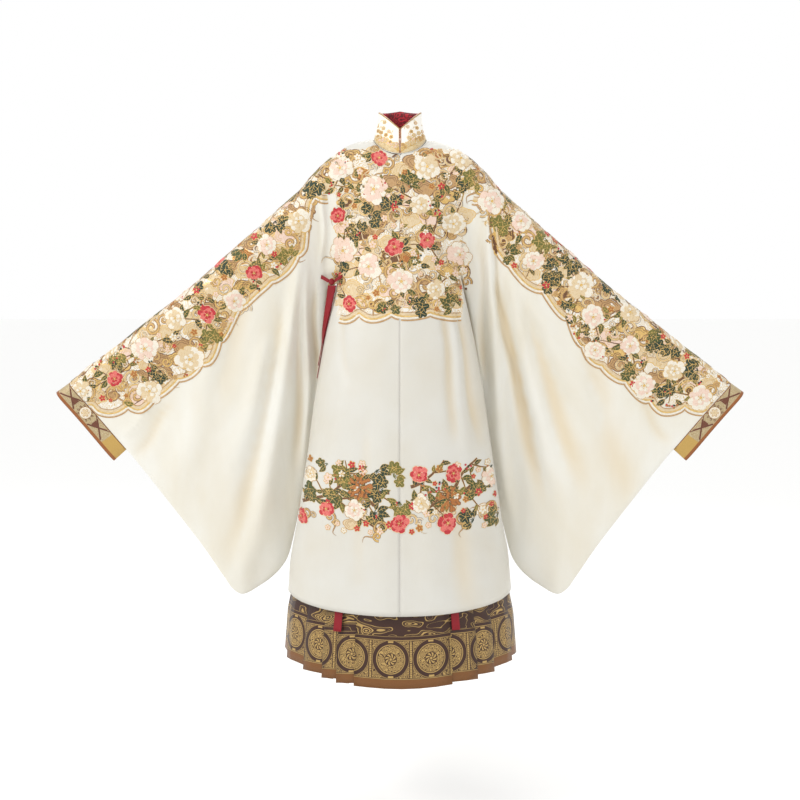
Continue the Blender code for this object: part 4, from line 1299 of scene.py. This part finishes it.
        outline = []
        for i in range(10):
            along = i / 5 if i <= 5 else (10 - i) / 5
            swell = 0.5 * sin(pi * along ** 0.85) * (1 - 0.15 * along)
            outline.append(on_leaf(along, -swell if i <= 5 else swell))
        self.blade(tone, on_leaf(0.5, 0), outline, 0.0008, level, turn - pi / 2)
        self.flat_line("gold", [on_leaf(t, 0) for t in shares(4)], 0.0009, level + 0.0009, 0.6)
        for t in (0.35, 0.6):
            for side in (-0.3, 0.3):
                self.flat_line("gold", [on_leaf(t, 0), on_leaf(t + 0.12, side)], 0.0006, level + 0.0009)

    def vine_leaf(self, root, turn, size, tone, level=0.0006):
        """Five-lobed leaf with gold veins."""
        centre = around(root, size * 0.45, turn)
        outline = []
        for i in range(20):
            angle = 2 * pi * i / 20
            tip = 1.12 if abs(angle - pi) > 2.4 else 0.94
            reach = size * 0.56 * (0.62 + 0.38 * abs(cos(2.5 * angle)) ** 0.8) * tip
            outline.append(around(centre, reach, angle + turn))
        self.blade(tone, centre, outline, 0.0009, level, turn)
        for i in range(5):
            tip = around(centre, size * 0.46, turn + 2 * pi * i / 5)
            self.flat_line("gold", [centre, tip], 0.0011, level + 0.0009, 0.5)

    def foliage(self, place, turn, tone):
        """Fan of large leaves on short stalks."""
        rnd = self.random
        for swing in (-1.35, -0.7, 0.0, 0.65, 1.3):
            heading = turn + swing + rnd.uniform(-0.15, 0.15)
            size = rnd.uniform(0.021, 0.031) * (1.1 - 0.18 * abs(swing))
            stalk = around(place, 0.008, heading)
            if not self.inside(*around(stalk, size, heading), 0.001):
                continue
            self.flat_line(tone, [place, stalk], 0.0016, 0.0008)
            if rnd.random() < 0.45:
                self.vine_leaf(stalk, heading, size, tone)
            else:
                self.leaf(stalk, heading, size, size * 0.52, tone)

    def spiral(self, place, radius, turn, hand, turns=1.25):
        return [around(place, radius * (1 - 0.86 * t), turn + hand * t * turns * 2 * pi) for t in shares(18)]

    def cloud(self, place, radius, turn, tones):
        """Scrolled cloud: three curls and a tail, each a pale cord between gold and brown ones."""
        hand = self.random.choice((-1, 1))
        curls = ((1.0, 0.0, 0.0, hand), (0.62, 1.15, 0.35, hand), (0.55, -1.15, 0.35, -hand))
        for tone, (reach, swing, aside, way) in zip(tones, curls):
            centre = turned(place, turn, radius * 0.8 * sin(swing), radius * aside)
            path = self.spiral(centre, radius * reach * 0.62, turn + swing, way)
            width = radius * 0.17 * reach
            self.flat_line("brown", path, width + 0.0024, 0.0004)
            self.line(tone, path, width + 0.0008, 0.0007)
            self.flat_line("gold", path, width * 0.30, 0.0011)
        tail = [turned(place, turn, radius * (0.5 + 0.15 * i), radius * 0.25 * sin(pi * i / 5))
                for i in range(11)]
        self.flat_line("brown", tail, radius * 0.16 + 0.002, 0.0003, 0.9)
        self.line(tones[0], tail, radius * 0.16, 0.0006, 0.9)

    def patch(self, place, radius, tone, edge, count=30):
        """Lobed field under the motifs."""
        spin, lobe_count = self.any_turn(), self.random.choice((4, 5, 6))
        outline = []
        for i in range(count):
            angle = 2 * pi * i / count
            reach = 0.78 + 0.22 * abs(sin(lobe_count * angle / 2 + spin)) + 0.10 * sin(angle + 2 * spin)
            reach *= radius
            outline.append((place[0] + 1.25 * reach * cos(angle), place[1] + 0.85 * reach * sin(angle)))
        self.rim(edge, place, outline, 0.0020, 0.00030)
        following = [(i + 1) % count for i in range(count)]
        for scales in ((1.0, 0.62), (0.62, 0.0)):
            flat = [((x - place[0]) * k, (z - place[1]) * k) for k in scales for x, z in outline]
            points = [(place[0] + u, place[1] + v, 0.00038, u, v) for u, v in flat]
            self.add(tone, points, [(i, j, count + j, count + i) for i, j in enumerate(following)])
        for k in (0.76, 0.50):
            self.flat_line(edge, [scaled(place, spot, k) for spot in outline[:22]], 0.0009, 0.0007)

    def waves(self, place, radius):
        """Half rings of a wave, each a tone of its own."""
        for number, tone in enumerate(("champagne", "gold", "blush", "champagne", "gold")):
            reach = radius * (1 - 0.18 * number)
            self.line(tone, [around(place, reach, pi * i / 18) for i in range(19)], radius * 0.13, 0.0006)

    def spray(self, start, turn, length, flowers, thick=0.0034):
        """Branch that bends as it grows, with leaves on both sides and flowers at its tip."""
        rnd = self.random
        path = [start]
        steps = max(6, int(length / 0.009))
        bend = rnd.uniform(-0.08, 0.08)
        for i in range(steps):
            turn += bend + rnd.uniform(-0.13, 0.13)
            place = around(path[-1], length / steps, turn)
            if not self.inside(*place, 0.004):
                break
            path.append(place)
        if len(path) < 4:
            return path
        self.line("gold", path, thick + 0.0014, 0.0003, 0.5)
        self.line("brown", path, thick, 0.0007, 0.6)
        side = 1
        for i in range(1, len(path), 3):
            grow = rnd.uniform(0.017, 0.029)
            heading = atan2(path[i][1] - path[i - 1][1], path[i][0] - path[i - 1][0])
            heading += side * rnd.uniform(0.5, 1.1)
            if self.inside(*around(path[i], grow, heading), 0.002):
                self.leaf(path[i], heading, grow, grow * 0.50, rnd.choice(LEAF_TONES))
            side = -side
        tip = path[-1]
        if flowers and self.inside(*tip, 0.008):
            self.star(tip, rnd.uniform(0.007, 0.010), rnd.choice(("coral", "blush", "ivory")))
        elif self.inside(*tip, 0.006):
            for i in range(4):
                tone = rnd.choice(("coral", "amber", "pine"))
                berry = (tip[0] + rnd.uniform(-0.007, 0.007), tip[1] + rnd.uniform(-0.007, 0.007))
                self.disc(tone, berry, 0.0026, 0.0010)
        return path

    # ---- fields of motifs
    def scatter(self, count, margin, spacing, taken, box):
        """Up to count places in the field, each clear of the taken ones."""
        places, tries = [], 0
        while len(places) < count and tries < count * 60:
            tries += 1
            x, z = self.random.uniform(box[0], box[2]), self.random.uniform(box[1], box[3])
            if self.inside(x, z, margin) and all(hypot(x - a, z - b) > spacing + r for a, b, r in taken):
                places.append((x, z))
                taken.append((x, z, spacing))
        return places

    def patches(self, places, low, high):
        for place in places:
            tone = self.random.choices(*PATCH_TONES)[0]
            edge = "brown" if tone in ("gold", "tan") else "gold"
            self.patch(place, self.random.uniform(low, high), tone, edge)

    def clouds(self, places, low, high):
        for place in places:
            radius = self.random.uniform(low, high)
            self.cloud(place, radius, self.any_turn(), self.random.choice(CLOUD_TONES))

    def bushes(self, places, tones):
        for place in places:
            self.foliage(place, self.any_turn(), self.random.choice(tones))

    def stars(self, places, tones):
        for place in places:
            self.star(place, self.random.uniform(0.005, 0.008), self.random.choice(tones))


# ---- threads and the tones of the motifs
THREADS = {name: thread("thread_" + name, light, dark, **more)
           for name, light, dark, more in (
               ("gold", (206, 164, 88), (238, 208, 140), {"gold": 0.25}),
               ("tan", (196, 158, 108), (168, 126, 78), {}),
               ("brown", (122, 82, 48), (86, 54, 32), {}),
               ("bark", (112, 62, 38), (84, 42, 26), {}),
               ("amber", (188, 120, 56), (146, 84, 36), {}),
               ("champagne", (226, 206, 170), (206, 178, 132), {}),
               ("blush", (236, 212, 196), (222, 188, 166), {}),
               ("ivory", (240, 234, 220), (218, 206, 184), {}),
               ("coral", (206, 54, 58), (168, 30, 44), {"rung": 0.0034}),
               ("rose", (228, 124, 112), (204, 76, 76), {}),
               ("olive", (122, 118, 46), (90, 88, 32), {"rung": 0.0034}),
               ("moss", (76, 86, 34), (50, 62, 26), {"rung": 0.0034}),
               ("pine", (40, 60, 36), (26, 42, 26), {"rung": 0.0036}))}
PEONY_TONES = {"red": ("coral", "rose", "coral"), "pale": ("ivory", "blush", "ivory"),
               "cream": ("ivory", "champagne", "ivory")}
CLOUD_TONES = (("champagne", "ivory", "tan"), ("tan", "champagne", "ivory"), ("tan", "gold", "champagne"),
               ("champagne", "tan", "ivory"))
PATCH_TONES = ("champagne", "blush", "tan", "gold", "amber", "brown"), (44, 10, 20, 11, 4, 11)
LEAF_TONES = ("olive", "moss", "moss", "pine", "pine")
BUSH_TONES = ("moss", "pine", "olive", "pine")
STAR_TONES = ("coral", "blush", "ivory", "amber", "tan")
BORDER_CORDS = (("tan", 0.0, 0.0034), ("ivory", 0.0048, 0.0040), ("gold", 0.0092, 0.0036),
                ("champagne", 0.0140, 0.0052), ("tan", 0.0186, 0.0022))


# ---- the embroidery of each piece
def field_borders(s):
    """Rows of gold, ivory and tan cords that follow the lobed lower edge of each field."""
    edges = []
    for side in (-1, 1):
        path, run, before = [], 0.0, None
        for x in (lerp(0.170, 0.766, t) for t in shares(259)):
            z = FIELD_EDGE.at(x, "z")
            if before:
                run += hypot(x - before[0], z - before[1])
            before = (x, z)
            path.append((side * x, z - lobes(run + 0.03 * side)))
        edges.append(path)
    edges.append([(lerp(-0.146, 0.146, i / 110), CHEST_EDGE_Z - lobes(0.292 * i / 110 + 0.02))
                  for i in range(111)])
    for path in edges:
        for tone, rise, width in BORDER_CORDS:
            cord = []
            for i, (x, z) in enumerate(path):
                ax, az = path[max(i - 3, 0)]
                bx, bz = path[min(i + 3, len(path) - 1)]
                length = hypot(bx - ax, bz - az)
                up = 1 if bx > ax else -1
                cord.append((x - up * (bz - az) / length * rise, z + abs(bx - ax) / length * rise))
            s.line(tone, cord, width, 0.0008 if rise else 0.0010)


def embroider_field(s):
    """Chest and sleeves: patches, clouds, branches with foliage, pale and coral flowers."""
    rnd, taken, box = s.random, [], FIELD_BOX
    s.patches(s.scatter(160, 0.017, 0.015, [], box), 0.014, 0.023)
    field_borders(s)
    blooms = s.scatter(38, 0.024, 0.036, taken, box)
    greens = s.scatter(50, 0.016, 0.020, taken, box)
    s.clouds(s.scatter(96, 0.022, 0.021, [], box), 0.023, 0.037)
    for side in (-1, 1):
        for x, z, radius in ((0.700, -0.585, 0.030), (0.640, -0.590, 0.024), (0.100, -0.380, 0.026),
                             (0.040, -0.386, 0.020)):
            s.waves((side * x, z), radius)
    for bloom in blooms:
        for i in range(3):
            turn = s.any_turn()
            s.spray(around(bloom, 0.010, turn), turn, rnd.uniform(0.050, 0.095), rnd.random() < 0.4)
    s.bushes(greens, BUSH_TONES)
    for x, z in blooms:
        kind = rnd.choices(("red", "pale", "cream"), (34, 30, 36) if abs(x) < 0.16 else (16, 38, 46))[0]
        size = rnd.uniform(0.018, 0.025) if kind == "red" else rnd.uniform(0.025, 0.036)
        edge = "champagne" if kind == "red" else rnd.choice(("tan", "tan", "gold"))
        s.peony((x, z), size, PEONY_TONES[kind], edge)
    s.stars(s.scatter(60, 0.010, 0.009, taken, box), STAR_TONES)


def embroider_knee(s):
    """Knee band on the bare satin: long branches with large leaves, coral flowers, a few clouds."""
    rnd, taken, box = s.random, [], KNEE_BOX
    s.inside = in_knee
    for x, z in s.scatter(9, 0.018, 0.034, [], box):
        if z < KNEE_CLOUD_Z:
            s.patch((x, z), rnd.uniform(0.014, 0.020), rnd.choice(("champagne", "ivory")), "tan")
    s.clouds(s.scatter(14, 0.024, 0.026, [], (*box[:3], KNEE_CLOUD_Z)), 0.022, 0.032)
    for side in (-1, 1):
        for start, way in ((0.025, 0.0), (0.060, 0.55), (0.235, 2.8), (0.130, 0.9), (0.170, -2.4)):
            z = rnd.uniform(-0.855, -0.785)
            turn = way + rnd.uniform(-0.15, 0.15)
            path = s.spray((side * start, z), turn if side > 0 else pi - turn, rnd.uniform(0.10, 0.17), True,
                           0.0076)
            for i in range(3, len(path), 4):
                s.spray(path[i], s.any_turn(), rnd.uniform(0.040, 0.065), rnd.random() < 0.4)
    blooms = s.scatter(12, 0.022, 0.026, taken, box)
    s.bushes(s.scatter(12, 0.014, 0.020, taken, box), ("moss", "pine", "olive", "moss"))
    for number, place in enumerate(blooms):
        kind = ("red", "red", "pale", "red", "cream", "tuft")[number % 6]
        if kind == "tuft":
            s.tuft(place, 0.034, "amber", "brown")
        else:
            edge = "champagne" if kind == "red" else "tan"
            s.peony(place, rnd.uniform(0.018, 0.026), PEONY_TONES[kind], edge)
    s.stars(s.scatter(24, 0.010, 0.009, taken, box), ("coral", "blush", "amber", "ivory"))


def embroider(seed):
    s = Stitches(seed)
    embroider_field(s)
    embroider_knee(s)
    return s


def embroider_top(seed):
    """Upper folds of the sleeves, seen from above: the fields run on over them."""
    s = Stitches(seed, in_top)
    rnd, taken, box = s.random, [], TOP_BOX
    s.patches(s.scatter(90, 0.008, 0.012, [], box), 0.012, 0.018)
    s.clouds(s.scatter(46, 0.009, 0.020, [], box), 0.018, 0.027)
    blooms = s.scatter(24, 0.010, 0.027, taken, box)
    greens = s.scatter(18, 0.008, 0.018, taken, box)
    for place in blooms:
        s.spray(place, s.any_turn(), rnd.uniform(0.040, 0.070), rnd.random() < 0.4)
    s.bushes(greens, BUSH_TONES)
    for place in blooms:
        kind = rnd.choices(("red", "pale", "cream"), (20, 36, 44))[0]
        size = rnd.uniform(0.015, 0.020) if kind == "red" else rnd.uniform(0.020, 0.028)
        s.peony(place, size, PEONY_TONES[kind], "champagne" if kind == "red" else "tan")
    s.stars(s.scatter(50, 0.005, 0.009, taken, box), STAR_TONES)
    return s


def cuff_place(side, down, across):
    """Place on a cuff: a share of the way down it and a share of the way out across it."""
    x, z = between(between(CUFF_TOP_IN, CUFF_LOW_IN, down), between(CUFF_TOP_OUT, CUFF_LOW_OUT, down), across)
    return side * x, z


def trim_cuffs(seed):
    """Crossed bars with filled corners, and a pale medallion ringed by curls between them."""
    s = Stitches(seed)
    middle = 0.395               # middle of the gold ground, across the cuff
    for side in (-1, 1):
        for down, toward in ((0.155, 1), (0.610, -1)):
            for way in (-1, 1):
                bar = [cuff_place(side, down + way * 0.115 * (2 * t - 1), lerp(0.02, 0.77, t))
                       for t in shares(8)]
                s.line("bark", bar, 0.0036, 0.0007)
            corners = [cuff_place(side, down + toward * 0.085, across) for across in (0.20, middle, 0.59)]
            s.add("bark", [(*spot, 0.0009, 0.0, 0.0) for spot in (cuff_place(side, down, middle), *corners)],
                  [(0, 1, 2), (0, 2, 3)])
        centre = cuff_place(side, 0.385, middle)
        for i in range(12):
            turn = 2 * pi * i / 12
            curl = around(centre, 0.0188 * 0.94, turn)
            if abs((curl[0] - centre[0]) * 0.82 + (centre[1] - curl[1]) * side * 0.57) < 0.0150:
                s.flat_line("bark", s.spiral(curl, 0.0034, turn, 1, 1.0), 0.0012, 0.0006)
        for radius, tone, level in ((0.0150, "tan", 0.0006), (0.0138, "ivory", 0.0008),
                                    (0.0112, "champagne", 0.0010), (0.0102, "ivory", 0.0012)):
            s.pad(tone, centre, circle(centre, radius, 24), level, level + 0.0002)
        for i in range(6):
            s.petal("champagne", "tan", centre, pi / 3 * i, 0.0082, 0.0048, 0.0014, 0.0, 7)
    return s


def trim_collar(seed):
    """Small gold and blush sprigs round the collar, closer together towards its base, and a knot."""
    s = Stitches(seed)
    rnd = s.random
    for rise, count, size in ((0.009, 17, 0.0034), (0.016, 15, 0.0036), (0.027, 11, 0.0036),
                              (0.040, 9, 0.0032), (0.054, 7, 0.0030)):
        for i in range(count):
            x = lerp(-0.054, 0.054, i / (count - 1)) + rnd.uniform(-0.0015, 0.0015)
            z = NECK_Z_FRONT + rise + 0.55 * abs(x) + rnd.uniform(-0.002, 0.002)
            if abs(x) < 0.004 or (rise > 0.02 and abs(x) < 0.018):
                continue
            s.star((x, z), size, rnd.choice(("champagne", "blush", "tan", "champagne")))
            turn = s.any_turn()
            tendril = [around((x, z), 0.004, turn), around((x, z), 0.008, turn + 0.3),
                       around((x, z), 0.010, turn + 0.8)]
            s.flat_line("gold", tendril, 0.0010, 0.0004)
    for side in (-1, 1):
        s.line("amber", [(side * 0.0019, lerp(-0.020, 0.038, t)) for t in shares(12)], 0.0018, 0.0007)
        s.star((side * 0.0044, -0.010), 0.0048, "gold")
    return s


low_cloth = body_left, body_right, lapel_right
robe_cloth = *low_cloth, sleeve_left, sleeve_right
for piece in robe_cloth:
    ground = piece.data.attributes.new("field", "FLOAT", "POINT")
    ground.data.foreach_set("value", [float(on_ground(v.co.x, v.co.z)) for v in piece.data.vertices])
robe_faces, low_faces = tree_of(*robe_cloth), tree_of(*low_cloth)
cuff_faces, collar_faces = tree_of(cuff_left, cuff_right), tree_of(collar_outer)
front_stitches = embroider(11).lay("embroidery_front", robe_faces, "front", low_faces)
back_stitches = embroider(29).lay("embroidery_back", robe_faces, "back", low_faces)
top_stitches = embroider_top(41).lay("embroidery_top", robe_faces, "top")
cuff_front = trim_cuffs(3).lay("cuff_figures_front", cuff_faces, "front")
cuff_back = trim_cuffs(4).lay("cuff_figures_back", cuff_faces, "back")
collar_front = trim_collar(5).lay("collar_sprigs_front", collar_faces, "front")
collar_back = trim_collar(6).lay("collar_sprigs_back", collar_faces, "back")


# ---- how the cloth is cut and held
def sheets():
    """Each piece of cloth, the size it was cut to, and what carries it."""
    both = front_stitches + back_stitches + top_stitches
    robe = ["robe_collar_cloth"]
    for piece, flat, area, held, rests_on, extra in (
            (body_left, (0.43, 2.36), 0.60, "hung", robe, both),
            (body_right, (0.43, 2.36), 0.60, "hung", robe, [lapel_right]),
            (lapel_right, (0.40, 1.04), 0.265, "hung", [body_left, body_right], []),
            (sleeve_left, (1.76, 1.02), 0.83, "hung", [body_left], []),
            (sleeve_right, (1.76, 1.02), 0.83, "hung", [body_right], []),
            (cuff_left, (0.475, 0.041), None, "hung", [sleeve_left], cuff_front + cuff_back),
            (cuff_right, (0.475, 0.041), None, "hung", [sleeve_right], []),
            (collar_outer, (0.424, 0.068), None, "folded", [body_left, body_right],
             collar_front + collar_back + [collar_piping, collar_band]),
            (collar_inner, (0.412, 0.066), None, "folded", [collar_outer], []),
            (wrap_front, (1.10, 0.88), None, "folded", [waistband], []),
            (wrap_back, (1.10, 0.88), None, "folded", [waistband], []),
            (waistband, (0.845, 0.081), None, "folded", [], []),
            (ribbon_left, (0.020, 0.704), None, "hung", [waistband], []),
            (ribbon_right, (0.020, 0.710), None, "hung", [waistband], []),
            (tie_long, (0.020, 0.230), None, "hung", [tie_knot], [tie_front, tie_back]),
            (tie_short, (0.020, 0.200), None, "hung", [tie_knot], [])):
        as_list(rests_on)
        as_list(extra)


sheets()
